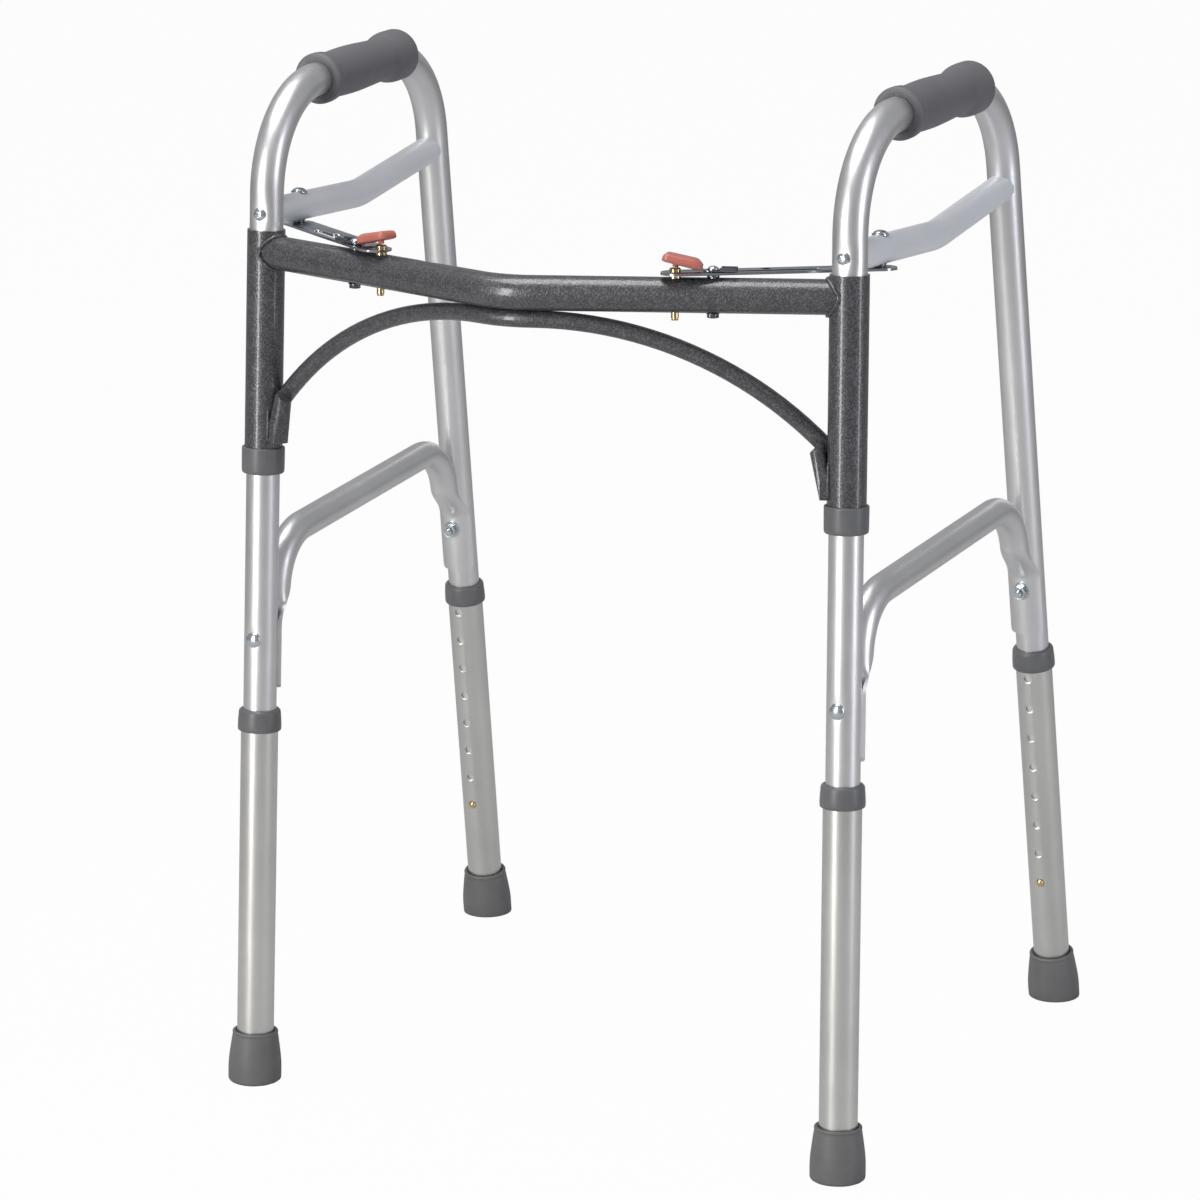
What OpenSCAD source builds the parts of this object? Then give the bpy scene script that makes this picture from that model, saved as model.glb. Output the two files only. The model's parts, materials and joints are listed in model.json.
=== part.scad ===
// Folding walking frame. Millimetres, +Z up, +Y towards the user, origin on the floor under the middle.
// Each side folds inboard about its front leg, which turns in a steel sleeve of the front frame.
// Side pieces are drawn for the left side in side axes: x inboard, y rearward, z up the front leg.

/* [Stance] */
// Distance of each front leg from the middle plane, at the floor
half_width = 246.4; // [230:0.1:270]
// Distance from the front leg to the rear leg along the side, at the floor
side_reach = 424.4; // [400:0.1:450]
// Rearward lean of the front legs, in degrees
lean_back = 3.97; // [2:0.01:6]
// Inward lean of the front legs, in degrees
lean_in = 0.86; // [0.3:0.01:1.5]
// Outward flare of the sides from front to back, in degrees
flare = 1.77; // [0:0.01:3]
// Angle between the front and rear leg of a side, in degrees
leg_angle = 11.88; // [10:0.01:13]

/* [Side tube] */
// Outer radius of the side tube
tube_r = 12.7; // [12:0.1:13]
// Wall of the side tube
tube_wall = 1.25; // [1:0.05:2]
// Height of the handle run, measured up the front leg
handle_v = 767; // [755:1:780]
// Bend radius above the front leg
front_bend_r = 80; // [60:1:85]
// Bend radius above the rear leg
rear_bend_r = 80; // [50:1:85]

/* [Hand grip] */
// Length of the grip
grip_len = 137; // [110:1:140]
// Distance of the grip's front end behind the front leg's axis
grip_front = 78; // [76:1:90]

/* [Height adjustment] */
// Outer radius of the leg extensions
ext_r = 14.3; // [14:0.1:14.6]
// Distance between adjustment holes
hole_pitch = 25.4; // [20:0.1:26]
// Number of adjustment holes in each extension
hole_count = 8; // [4:1:8]
// Distance of the lowest hole from the floor, along a front leg
front_pin_v = 95.9; // [90:0.1:110]
// Distance of the lowest hole from the floor, along a rear leg
rear_pin_w = 107.3; // [90:0.1:115]

/* [Front frame] */
// Bottom of the hinge sleeves, up the front leg
sleeve_bottom = 501.3; // [495:0.1:510]
// Top of the hinge sleeves, up the front leg
sleeve_top = 666; // [655:0.1:668]
// Height of the crossbar's axis
bar_z = 648; // [640:0.1:650]
// How far forward of the floor line of the legs the crossbar's middle bows
bar_bow = 30; // [20:1:40]
// Outer radius of the crossbar
bar_r = 12.7; // [12:0.1:13]
// Radius of the arch brace's curve
arch_curve_r = 290; // [270:1:310]
// Radius of the arch brace's rod
arch_r = 6.35; // [6:0.05:7]

/* [Side braces] */
// Outer radius of the upper arm
arm_r = 10.8; // [10:0.1:11.1]
// Height of the upper arm's front part, up the front leg
arm_v = 678.2; // [677:0.1:680]
// Outer radius of the lower brace
brace_r = 11.1; // [10:0.1:11.5]
// Height of the brace bolt in the front leg
brace_bolt_v = 352.4; // [345:0.1:360]

/* [Latch] */
// Distance of the latch bolt from the sleeve's axis, along the crossbar
latch_bolt_at = 96.8; // [90:0.1:100]
// Distance of the lock pin from the latch bolt, along the crossbar
lock_pin_at = 27.2; // [26:0.1:28]
// Distance of the link's rivet behind the front leg
link_rivet_u = 52; // [50:0.1:54]
// Underside of the link plate, up the front leg
plate_v = 664; // [663.5:0.1:664.5]
// Thickness of the link plate
plate_t = 1.8; // [1.6:0.1:2]

/* [Folding] */
// How far the left side folds inward, in degrees
left_fold = 94; // [93.5:0.1:94.5]
// How far the right side folds inward, behind the left one, in degrees
right_fold = 80; // [78:0.5:80]

/* [Hidden] */
$fn = 48;
hair = 0.02;
lap = 0.05;                        // overlap of pieces that are joined into one
run_gap = 0.1;                     // radial clearance of a running fit
bore_r = tube_r + run_gap;         // bore of sleeves and extensions
tube_bore = tube_r - tube_wall;
depth_centre = 202.7;              // places the origin midway between the front and the rear
steel_grey = [0.27, 0.28, 0.29];
aluminium = [0.78, 0.78, 0.79];
arm_blue = [0.70, 0.74, 0.79];
collar_grey = [0.42, 0.42, 0.43];
grip_grey = [0.47, 0.47, 0.49];
foot_grey = [0.45, 0.45, 0.46];
zinc = [0.72, 0.74, 0.76];
brass = [0.80, 0.68, 0.38];
coral = [0.80, 0.33, 0.30];

// Direction of the side axes in the part's frame, left side
n_dir = [cos(flare) * cos(lean_in) - sin(flare) * sin(lean_back) * sin(lean_in),
         sin(flare) * cos(lean_back),
         -cos(flare) * sin(lean_in) - sin(flare) * sin(lean_back) * cos(lean_in)];
u_dir = [-sin(flare) * cos(lean_in) - cos(flare) * sin(lean_back) * sin(lean_in),
         cos(flare) * cos(lean_back),
         sin(flare) * sin(lean_in) - cos(flare) * sin(lean_back) * cos(lean_in)];
v_dir = [cos(lean_back) * sin(lean_in), sin(lean_back), cos(lean_back) * cos(lean_in)];
function in_side_axes(d) = [d * n_dir, d * u_dir, d * v_dir];

// Slope of a level line in the side's plane, and where the rear leg meets the floor
level = atan(-u_dir[2] / v_dir[2]);
rear_u = side_reach * cos(level);
rear_v = side_reach * sin(level);

// Side tube: corners of its straight runs, bends between them
top_slope = tan(level);
lean_slope = tan(leg_angle);
corner_u = (rear_u + (rear_v - handle_v) * lean_slope) / (1 + top_slope * lean_slope);
corner_v = handle_v + corner_u * top_slope;
front_turn = 90 - level;
rear_turn = 180 - leg_angle - front_turn;
front_tangent = front_bend_r * tan(front_turn / 2);
rear_tangent = rear_bend_r * tan(rear_turn / 2);
front_end_v = front_pin_v - 25;    // lower ends of the side tube, inside the extensions
rear_end_w = rear_pin_w - 25;
rear_run = norm([corner_u - rear_u, corner_v - rear_v]);
side_path = [
  [handle_v - front_tangent - front_end_v, front_bend_r, front_turn],
  [norm([corner_u, corner_v - handle_v]) - front_tangent - rear_tangent, rear_bend_r, rear_turn],
  [rear_run - rear_tangent - rear_end_w, 0, 0]];
function handle_point(u) = [0, u, handle_v + u * top_slope];

// Snap buttons
button_r = 3.1;
button_hole_r = button_r + run_gap;
ext_hole_r = 3.4;
ext_start = 7;
front_ext_top = 295.6;
rear_ext_top = 307;

// Lower brace: it runs back along the side, and its ends are pressed flat to saddle the legs
leg_to_brace = tube_r + brace_r + 0.15;  // axis distance where the brace lies along a leg
saddle_in = tube_r + 0.1;
saddle_out = tube_r + 3.2;
brace_slope = 6.1;
brace_bend_r = 45;
brace_start_v = 384.5;
brace_turn_front = 90 - brace_slope;
brace_turn_rear = 180 - leg_angle - brace_turn_front;
brace_corner_v = brace_start_v + brace_bend_r * tan(brace_turn_front / 2);
brace_rear_u = (rear_u + (rear_v - brace_corner_v + leg_to_brace * tan(brace_slope)) * lean_slope
  - leg_to_brace / cos(leg_angle)) / (1 + tan(brace_slope) * lean_slope);
brace_rear_v = brace_corner_v + (brace_rear_u - leg_to_brace) * tan(brace_slope);
brace_run = norm([brace_rear_u - leg_to_brace, brace_rear_v - brace_corner_v])
  - brace_bend_r * (tan(brace_turn_front / 2) + tan(brace_turn_rear / 2));
brace_end_w = (brace_rear_v - rear_v + (rear_u - brace_rear_u) * lean_slope) * cos(leg_angle)
  - brace_bend_r * tan(brace_turn_rear / 2);
front_saddle_top = 366;
rear_saddle_top = 376;
rear_bolt_w = 361.6;
rear_saddle_w = 324.8;

// Upper arm
arm_bend_u = 150;
arm_bend_r = 90;
arm_rise = 10.5;
arm_bend_tangent = arm_bend_r * tan(arm_rise / 2);
arm_rear_level = (rear_u - arm_bend_u - (arm_v - rear_v) * lean_slope) / (1 + tan(arm_rise) * lean_slope);
arm_rear_w = (arm_v + arm_rear_level * tan(arm_rise) - rear_v) / cos(leg_angle);
arm_rear_run = arm_rear_level / cos(arm_rise) - arm_bend_tangent;

// Crossbar and latch geometry: the bar runs from the sleeve's axis to the bowed middle
sleeve_point = v_dir * (bar_z / v_dir[2]);
bar_vector = [half_width, -bar_bow, bar_z] - sleeve_point;
bar_len = norm(bar_vector);
bar_dir = bar_vector / bar_len;
bar_turn = asin(-bar_dir[1]);
bar_bend_r = 70;
bar_tangent = bar_bend_r * tan(bar_turn);
bar_side = in_side_axes(bar_dir);
bar_side_turn = atan2(bar_side[1], bar_side[0]);
latch_point = [0, 0, bar_z / v_dir[2]] + bar_side * latch_bolt_at;
plate_top = plate_v + plate_t;
latch_bolt_r = 2.5;
bush_r = 3.3;
pin_top_r = 4.2;
pin_r = 2.8;
slot_offset = 4.8;
slot_half = bush_r + run_gap;

// The link at a fold angle: from its rivet to the latch bolt, along its slot to the bolt, and its turn
function link_vector(fold) =
  [latch_point[0] - link_rivet_u * sin(fold), latch_point[1] - link_rivet_u * cos(fold)];
function slot_reach(fold) = sqrt(pow(norm(link_vector(fold)), 2) - slot_offset * slot_offset);
function link_turn(fold) = atan2(link_vector(fold)[1], link_vector(fold)[0])
  + asin(slot_offset / norm(link_vector(fold)));

// Where the lock pin stands in the link plate at a fold angle
function pin_in_plate(fold) = [slot_reach(fold) + lock_pin_at * cos(bar_side_turn - link_turn(fold)),
  lock_pin_at * sin(bar_side_turn - link_turn(fold)) - slot_offset];

slot_far = slot_reach(0);
slot_near = 48;
plate_turn = link_turn(0);
plate_half = 12.5;
plate_tip = 161;
paddle_pivot = [7.5, 0.9];         // along the bar from the latch bolt, and above the link plate
paddle_tilt = 13.4;
pin_bar_v = latch_point[2] + bar_side[2] * lock_pin_at;

SIDES = ["left", "right"];
LEGS = ["front", "rear"];
SIDE_PARTS = ["side_tube", "hand_grip", "upper_arm", "lower_brace", "sleeve_collar", "collar_rivet",
  "arm_screws", "arm_inserts", "link_rivet", "brace_bolts", "brace_nuts", "snap_springs",
  "link_plate", "guide_bush", "release_paddle", "lock_pin", "pin_spring", "hinge_sleeve", "latch_spring_leaf"];
LEG_PARTS = ["leg_extension", "extension_collar", "rubber_foot", "snap_button"];
NODES = concat(["crossbar", "arch_brace", "weld_beads", "latch_bolts", "latch_nuts"],
  [for (s = SIDES) for (p = SIDE_PARTS) str(s, "_", p)],
  [for (s = SIDES) for (l = LEGS) for (p = LEG_PARTS) str(s, "_", l, "_", p)]);
node = "all";

// ---- Placing ----

module in_side(side) {
  mirror([side == "right" ? 1 : 0, 0, 0])
    translate([-half_width, -depth_centre, 0])
      rotate([0, lean_in, 0]) rotate([-lean_back, 0, 0]) rotate([0, 0, flare])
        children();
}

// Axes of a leg in side axes: its own axis is z, counted from the floor
module on_leg(leg) {
  if (leg == "front") children();
  else translate([0, rear_u, rear_v]) rotate([leg_angle, 0, 0]) children();
}

// Latch axes: x along the crossbar from the latch bolt, z up the front leg
module at_latch(z = 0) {
  translate([latch_point[0], latch_point[1], z]) rotate([0, 0, bar_side_turn]) children();
}

// Link axes: origin at the link's rivet, x along the plate
module at_link(z = 0) {
  translate([0, link_rivet_u, z]) rotate([0, 0, plate_turn]) children();
}

// Cuts away what lies under the floor
module above_floor() {
  intersection() {
    children();
    translate([0, 0, 100]) cube([700, 700, 200], center = true);
  }
}

// ---- Shapes ----

// A round bar along a path of straight runs and bends: it starts up z and bends towards y.
// Each straight run laps into the bends beside it, and a bend is thinner by a hair.
module bent_bar(path, r, i = 0) {
  run = path[i][0];
  bend_r = path[i][1];
  turn = path[i][2];
  before = i == 0 ? 0 : lap;
  after = turn > 0 ? lap : 0;
  translate([0, 0, -before]) cylinder(r = r, h = run + before + after);
  if (turn > 0) {
    translate([0, bend_r, run]) rotate([90, 0, -90])
      rotate_extrude(angle = turn, $fn = 96) translate([bend_r, 0]) circle(r = r - hair);
    translate([0, bend_r * (1 - cos(turn)), run + bend_r * sin(turn)]) rotate([-turn, 0, 0])
      bent_bar(path, r, i + 1);
  }
}

// The same path, longer by e at both ends
function longer(path, e) = [for (i = [0:len(path) - 1])
  [path[i][0] + (i == 0 ? e : 0) + (i == len(path) - 1 ? e : 0), path[i][1], path[i][2]]];

module ring(r_out, r_in, h) {
  difference() {
    cylinder(r = r_out, h = h);
    translate([0, 0, -1]) cylinder(r = r_in, h = h + 2);
  }
}

// A low round screw head on the plane z = 0
module dome(r, h) {
  ball = (r * r + h * h) / (2 * h);
  intersection() {
    translate([0, 0, h - ball]) sphere(r = ball, $fn = 64);
    cylinder(r = r, h = h + 1);
  }
}

// A turned part from an outline of [radius, height] points
module turned(outline) {
  rotate_extrude($fn = 72) polygon(outline);
}

// Points of a quarter arc from angle a to angle b
function arc(c, r, a, b, steps = 5) =
  [for (i = [0:steps]) c + r * [cos(a + (b - a) * i / steps), sin(a + (b - a) * i / steps)]];

// Something drawn up z, turned to point forward or rearward of a leg
module facing(direction) {
  rotate([direction == "front" ? 90 : -90, 0, 0]) children();
}

// ---- Side frame ----

module side_tube() {
  pad = 1;
  color(aluminium) difference() {
    translate([0, 0, front_end_v]) bent_bar(side_path, tube_r);
    translate([0, 0, front_end_v - pad]) bent_bar(longer(side_path, pad), tube_bore);
    translate([0, 0, front_pin_v]) facing("rear") cylinder(r = button_hole_r, h = tube_r + 1);
    on_leg("rear") translate([0, 0, rear_pin_w]) facing("front") cylinder(r = button_hole_r, h = tube_r + 1);
    translate([0, 0, brace_bolt_v]) rotate([90, 0, 0]) cylinder(r = 3.1, h = 40, center = true);
    on_leg("rear") translate([0, 0, rear_bolt_w]) rotate([90, 0, 0]) cylinder(r = 3.1, h = 40, center = true);
    translate([0, 0, arm_v]) rotate([90, 0, 0]) cylinder(r = 2.6, h = 40, center = true);
    translate([0, 0, collar_rivet_v]) facing("rear") cylinder(r = 2.1, h = tube_r + 1);
    arm_rear_screw_axis() cylinder(r = 2.6, h = 60, center = true);
  }
}

// The grip's outline: a rounded front flange, a swelling body, a waist and a bell at the back
waist = 0.72 * grip_len;
function grip_body_r(t) = 17.1 + 1.3 * sin(180 * t) - 0.7 * t;
grip_outline = concat(
  [[0, 0]],
  arc([17.2, 2.4], 2.4, -90, 0),
  arc([17.2, 9.6], 2.4, 0, 75),
  [for (i = [0:6]) [grip_body_r(i / 6), 13.5 + (waist - 13.5) * i / 6]],
  arc([21.9, waist + 6], 5.2, 190, 140, 3),
  arc([17.0, grip_len - 9], 3.2, 40, 0, 3),
  arc([16.2, grip_len - 4], 4, 0, 90),
  [[0, grip_len]]);

module hand_grip() {
  color(grip_grey)
    difference() {
      translate(handle_point(grip_front)) rotate([-90 + level, 0, 0]) turned(grip_outline);
      translate([0, 0, front_end_v]) bent_bar(side_path, tube_r + 0.01);
    }
}

module arm_rear_screw_axis() {
  on_leg("rear") translate([0, 0, arm_rear_w]) rotate([90, 0, 0]) children();
}

module upper_arm_bar(r, pad) {
  front_run = arm_bend_u - arm_bend_tangent;
  translate([0, -pad, arm_v]) rotate([-90, 0, 0]) mirror([0, 1, 0])
    bent_bar([[front_run + pad, arm_bend_r, arm_rise], [arm_rear_run + pad, 0, 0]], r);
}

module upper_arm() {
  wall = 1.5;
  leg_cut = tube_r + 0.02;
  color(arm_blue) difference() {
    upper_arm_bar(arm_r, 0);
    upper_arm_bar(arm_r - wall, 1);
    translate([0, 0, arm_v - 40]) cylinder(r = leg_cut, h = 80);
    translate([0, -25, arm_v - 40]) cube([60, 50, 160], center = true);
    on_leg("rear") translate([0, 0, arm_rear_w - 60]) cylinder(r = leg_cut, h = 120);
    on_leg("rear") translate([0, 40, arm_rear_w]) cube([60, 80, 160], center = true);
    translate([0, link_rivet_u, arm_v - 30]) cylinder(r = 2.6, h = 60);
  }
}

// Moulded plug in each end of the upper arm, which its screw bites into
module arm_inserts() {
  plug_r = arm_r - 1.5;
  color([0.2, 0.2, 0.2]) {
    translate([0, tube_r + 5, arm_v]) rotate([-90, 0, 0]) ring(plug_r, 2.5, 22);
    translate([0, arm_bend_u, arm_v]) rotate([arm_rise, 0, 0])
      translate([0, arm_rear_run + arm_bend_tangent - 36, 0]) rotate([-90, 0, 0]) ring(plug_r, 2.5, 16);
  }
}

module lower_brace_round() {
  translate([0, leg_to_brace, front_saddle_top])
    bent_bar([[brace_start_v - front_saddle_top, brace_bend_r, brace_turn_front],
      [brace_run, brace_bend_r, brace_turn_rear], [brace_end_w - rear_saddle_top, 0, 0]], brace_r);
}

// Flattened end of the brace: a strip that wraps a leg, given in the leg's axes on its rear side
module saddle(from, to, half_angle = 62) {
  translate([0, 0, from]) rotate([0, 0, 90 - half_angle])
    rotate_extrude(angle = 2 * half_angle, $fn = 96)
      translate([saddle_in, 0]) square([saddle_out - saddle_in, to - from]);
}

// What is pressed away where the round tube runs out into the flat strip, below a slanting face
module pressed_away(top) {
  translate([0, saddle_out - 1, top]) rotate([46, 0, 0]) translate([-20, 0, -30]) cube([40, 40, 30]);
}

module lower_brace() {
  color(aluminium) difference() {
    union() {
      difference() {
        lower_brace_round();
        pressed_away(front_saddle_top);
        on_leg("rear") mirror([0, 1, 0]) pressed_away(rear_saddle_top);
      }
      saddle(312.5, front_saddle_top + 0.5);
      on_leg("rear") mirror([0, 1, 0]) saddle(rear_saddle_w, rear_saddle_top + 0.5);
    }
    translate([0, 0, brace_bolt_v]) facing("rear") cylinder(r = 3.1, h = 40);
    on_leg("rear") translate([0, 0, rear_bolt_w]) facing("front") cylinder(r = 3.1, h = 40);
  }
}

module brace_bolt(direction, length) {
  facing(direction) {
    translate([0, 0, tube_r - 0.9]) dome(6.2, 3.4);
    translate([0, 0, tube_r - length]) cylinder(r = 3, h = length - 0.5);
  }
}

module brace_bolts() {
  color(zinc) {
    translate([0, 0, brace_bolt_v]) brace_bolt("front", 36);
    on_leg("rear") translate([0, 0, rear_bolt_w]) brace_bolt("rear", 36);
  }
}

module brace_nut() {
  translate([0, 0, saddle_out]) ring(6.5, 3, 1.2);
  translate([0, 0, saddle_out + 1.2]) difference() {
    cylinder(r = 5.7, h = 5, $fn = 6);
    translate([0, 0, -1]) cylinder(r = 3, h = 8);
  }
}

module brace_nuts() {
  color(zinc) {
    translate([0, 0, brace_bolt_v]) facing("rear") brace_nut();
    on_leg("rear") translate([0, 0, rear_bolt_w]) facing("front") brace_nut();
  }
}

// Plastic collar on the leg that carries the sleeve, and the rivet under it
collar_bottom = sleeve_bottom - 0.3 - 20.2;
collar_rivet_v = collar_bottom - 5;

module sleeve_collar() {
  h = sleeve_bottom - 0.3 - collar_bottom;
  color(collar_grey) translate([0, 0, collar_bottom])
    turned(concat([[tube_r, 0]], arc([14.8, 1.6], 1.6, -90, 0), arc([15.4, h - 1], 1, 0, 90), [[tube_r, h]]));
}

module collar_rivet() {
  color([0.15, 0.15, 0.16]) translate([0, 0, collar_rivet_v]) facing("rear") {
    translate([0, 0, tube_r]) dome(4, 2.2);
    translate([0, 0, tube_r - 4]) cylinder(r = 2, h = 4.2);
  }
}

module cross_slot(size, depth) {
  for (a = [0, 90]) rotate([0, 0, a]) cube([size, size / 4.5, depth], center = true);
}

module arm_screws() {
  color(zinc) {
    translate([0, 0, arm_v]) facing("front") difference() {
      union() {
        translate([0, 0, tube_r - 1.6]) dome(5, 2.6);
        translate([0, 0, -tube_r - 20]) cylinder(r = 2.5, h = 2 * tube_r + 18.8);
      }
      translate([0, 0, tube_r + 1]) cross_slot(4.5, 2.6);
    }
    arm_rear_screw_axis() mirror([0, 0, 1]) difference() {
      union() {
        translate([0, 0, tube_r - 1.6]) dome(5, 2.6);
        translate([0, 0, -tube_r - 14]) cylinder(r = 2.5, h = 2 * tube_r + 12.8);
      }
      translate([0, 0, tube_r + 1]) cross_slot(4.5, 2.6);
    }
  }
}

// Rivet through the arm that carries the link plate under it
module link_rivet() {
  color(zinc) translate([0, link_rivet_u, 0]) {
    translate([0, 0, arm_v + arm_r - 0.6]) ring(6.4, 2.5, 1.4);
    translate([0, 0, arm_v + arm_r + 0.8]) dome(5.6, 2.6);
    translate([0, 0, plate_top + 0.3]) cylinder(r = 2.5, h = arm_v + arm_r + 0.9 - plate_top - 0.3);
    translate([0, 0, plate_top + 0.3]) cylinder(r = 4.4, h = arm_v - arm_r - plate_top - 0.1);
  }
}

// Folded leaf spring behind each snap button, inside the leg
module snap_spring(direction) {
  leaf_w = 8;
  leaf_t = 0.7;
  leaf_len = 24;
  near = 8.6;
  facing(direction) rotate([0, 0, direction == "front" ? 180 : 0]) {
    translate([-leaf_w / 2, -6, near]) cube([leaf_w, leaf_len - near, leaf_t]);
    translate([-leaf_w / 2, -6, -near - leaf_t]) cube([leaf_w, leaf_len - near, leaf_t]);
    translate([0, leaf_len - near - 6, 0]) rotate([0, 90, 0])
      intersection() {
        translate([0, 0, -leaf_w / 2]) ring(near + leaf_t, near, leaf_w);
        translate([-20, 0, -20]) cube(40);
      }
  }
}

module snap_springs() {
  color(zinc) {
    translate([0, 0, front_pin_v]) snap_spring("rear");
    on_leg("rear") translate([0, 0, rear_pin_w]) snap_spring("front");
  }
}

// ---- Leg extensions ----

function leg_pin(leg) = leg == "front" ? front_pin_v : rear_pin_w;
function leg_top(leg) = leg == "front" ? front_ext_top : rear_ext_top;
function pin_side(leg) = leg == "front" ? "rear" : "front";

module leg_extension(leg) {
  color([0.74, 0.73, 0.70]) on_leg(leg) difference() {
    translate([0, 0, ext_start]) ring(ext_r, bore_r, leg_top(leg) - ext_start);
    for (i = [0:hole_count - 1])
      translate([0, 0, leg_pin(leg) + i * hole_pitch]) facing(pin_side(leg)) cylinder(r = ext_hole_r, h = 20);
  }
}

module extension_collar(leg) {
  h = 17.2;
  lip = 1.6;
  r = 16.4;
  color(collar_grey) on_leg(leg) translate([0, 0, leg_top(leg) + lip - h])
    turned(concat([[ext_r, 0]], arc([r - 1, 1], 1, -90, 0), arc([r - 3.4, h - 3.4], 3.4, 0, 80),
      [[bore_r, h], [bore_r, h - lip], [ext_r, h - lip]]));
}

module rubber_foot(leg) {
  sink = leg == "front" ? 1.5 : 3;
  rim = 39.8;
  outline = concat(
    [[0, -sink]],
    arc([17.6, 3 - sink], 3, -90, 0),
    [[20.5, 12], [19.9, 22], [18.7, 30], [17.5, 36]],
    arc([16.0, rim - 1.6], 1.6, -10, 90),
    [[ext_r, rim - 0.8], [ext_r, ext_start], [0, ext_start]]);
  color(foot_grey) on_leg(leg) turned(outline);
}

module snap_button(leg) {
  flange = 9.5;
  out = ext_r + 0.4;
  color(brass) on_leg(leg) translate([0, 0, leg_pin(leg)]) facing(pin_side(leg)) {
    translate([0, 0, flange]) cylinder(r = 4, h = 0.8);
    translate([0, 0, flange]) cylinder(r = button_r, h = out - flange);
    translate([0, 0, out]) dome(button_r, 1.9);
  }
}

// ---- Front frame ----

module hinge_sleeve() {
  color(steel_grey) translate([0, 0, sleeve_bottom]) ring(ext_r, bore_r, sleeve_top - sleeve_bottom);
}

// A bar that follows the crossbar's plan from sleeve to sleeve, longer by e at both ends
module plan_bar(r, e = 0) {
  straight = bar_len - bar_tangent;
  translate([sleeve_point[0] - half_width, sleeve_point[1] - depth_centre, bar_z])
    rotate([0, 0, -bar_turn]) rotate([0, 90, 0]) translate([0, 0, -e])
      bent_bar([[straight + e, bar_bend_r, 2 * bar_turn], [straight + e, 0, 0]], r);
}

module both_sides() {
  children();
  mirror([1, 0, 0]) children();
}

module latch_holes() {
  at_latch(bar_z - 40) {
    cylinder(r = latch_bolt_r + 0.1, h = 80);
    translate([lock_pin_at, 0, 0]) cylinder(r = pin_r + run_gap, h = 80);
    translate([lock_pin_at, 0, 40]) cylinder(r = pin_top_r + run_gap, h = 40);
  }
}

module crossbar() {
  wall = 1.6;
  color(steel_grey) difference() {
    plan_bar(bar_r);
    plan_bar(bar_r - wall, 5);
    for (s = SIDES) in_side(s) {
      translate([0, 0, 600]) cylinder(r = ext_r, h = 100);
      latch_holes();
    }
  }
}

arch_drop_reach = 224;             // level run of the arch's curve from the middle bend to a sleeve
arch_z = bar_z - bar_r - arch_r - 0.02;
arch_angle = asin(arch_drop_reach / arch_curve_r);
arch_foot_v = 505;
bend_end = [-bar_bend_r * sin(bar_turn), -depth_centre - bar_bow + bar_tangent * sin(bar_turn), arch_z];

module arch_middle() {
  translate([0, bend_end[1] + bar_bend_r * cos(bar_turn), arch_z]) rotate([0, 0, -90 - bar_turn])
    rotate_extrude(angle = 2 * bar_turn, $fn = 96) translate([bar_bend_r, 0]) circle(r = arch_r - hair);
}

module arch_half() {
  overrun = 0.02;
  translate(bend_end) rotate([0, 0, 180 - bar_turn]) translate([0, 0, -arch_curve_r]) rotate([90, 0, 0])
    rotate([0, 0, 90 - arch_angle])
      rotate_extrude(angle = arch_angle + overrun, $fn = 180) translate([arch_curve_r, 0]) circle(r = arch_r);
}

// The arch's end, pressed into a flat tab against the sleeve
module arch_tab() {
  tab_t = 4.5;
  tab_w = 15;
  rotate([0, 0, bar_side_turn])
    hull() {
      translate([ext_r - 1, -tab_w / 2, arch_foot_v]) cube([tab_t + 1, tab_w, 14]);
      translate([ext_r + 6, 0, arch_foot_v + 35]) rotate([0, 45, 0])
        cylinder(r = arch_r - 0.15, h = 3, $fn = 32);
    }
}

module arch_brace() {
  color(steel_grey) difference() {
    union() {
      arch_middle();
      both_sides() arch_half();
      for (s = SIDES) in_side(s) arch_tab();
    }
    for (s = SIDES) in_side(s) translate([0, 0, 480]) cylinder(r = ext_r + 0.02, h = 200);
  }
}

// Weld beads: round each end of the crossbar, and between the crossbar and the crown of the arch
module weld_beads() {
  bead = 1.6;
  color([0.24, 0.25, 0.26]) {
    for (s = SIDES) in_side(s)
      difference() {
        translate([0, 0, bar_z / v_dir[2]]) rotate([0, 0, bar_side_turn]) rotate([0, 90, 0])
          translate([0, 0, ext_r - 6]) ring(bar_r + bead, bar_r + 0.02, 8);
        translate([0, 0, 600]) cylinder(r = ext_r + 0.02, h = 100);
        difference() {
          translate([0, 0, 600]) cylinder(r = 60, h = 100);
          translate([0, 0, 599]) cylinder(r = ext_r + bead, h = 102);
        }
      }
  }
}

// ---- Latch ----

module guide_bush() {
  color(brass) at_latch() difference() {
    union() {
      translate([0, 0, latch_point[2] + bar_r + 0.3])
        cylinder(r = 4.6, h = plate_v - 0.2 - latch_point[2] - bar_r - 0.3);
      translate([0, 0, latch_point[2] + bar_r + 0.3])
        cylinder(r = bush_r, h = plate_top + 0.3 - latch_point[2] - bar_r - 0.3);
    }
    translate([0, 0, plate_v - 10]) cylinder(r = latch_bolt_r + 0.05, h = 20);
  }
}

// The slotted link; the lock pin stands in one hole at rest and in the other when the side is folded
module link_plate(side) {
  color(zinc) at_link(plate_v) difference() {
    union() {
      cylinder(r = plate_half, h = plate_t);
      translate([0, -plate_half, 0]) cube([plate_tip - plate_half, 2 * plate_half, plate_t]);
      translate([plate_tip - plate_half, 0, 0]) cylinder(r = plate_half, h = plate_t);
    }
    translate([slot_near, -slot_offset - slot_half, -1])
      cube([slot_far - slot_near, 2 * slot_half, plate_t + 2]);
    for (x = [slot_near, slot_far]) translate([x, -slot_offset, -1]) cylinder(r = slot_half, h = plate_t + 2);
    for (fold = [0, side == "left" ? left_fold : right_fold])
      translate(concat(pin_in_plate(fold), -1)) cylinder(r = pin_top_r + run_gap, h = plate_t + 2);
  }
}

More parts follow.
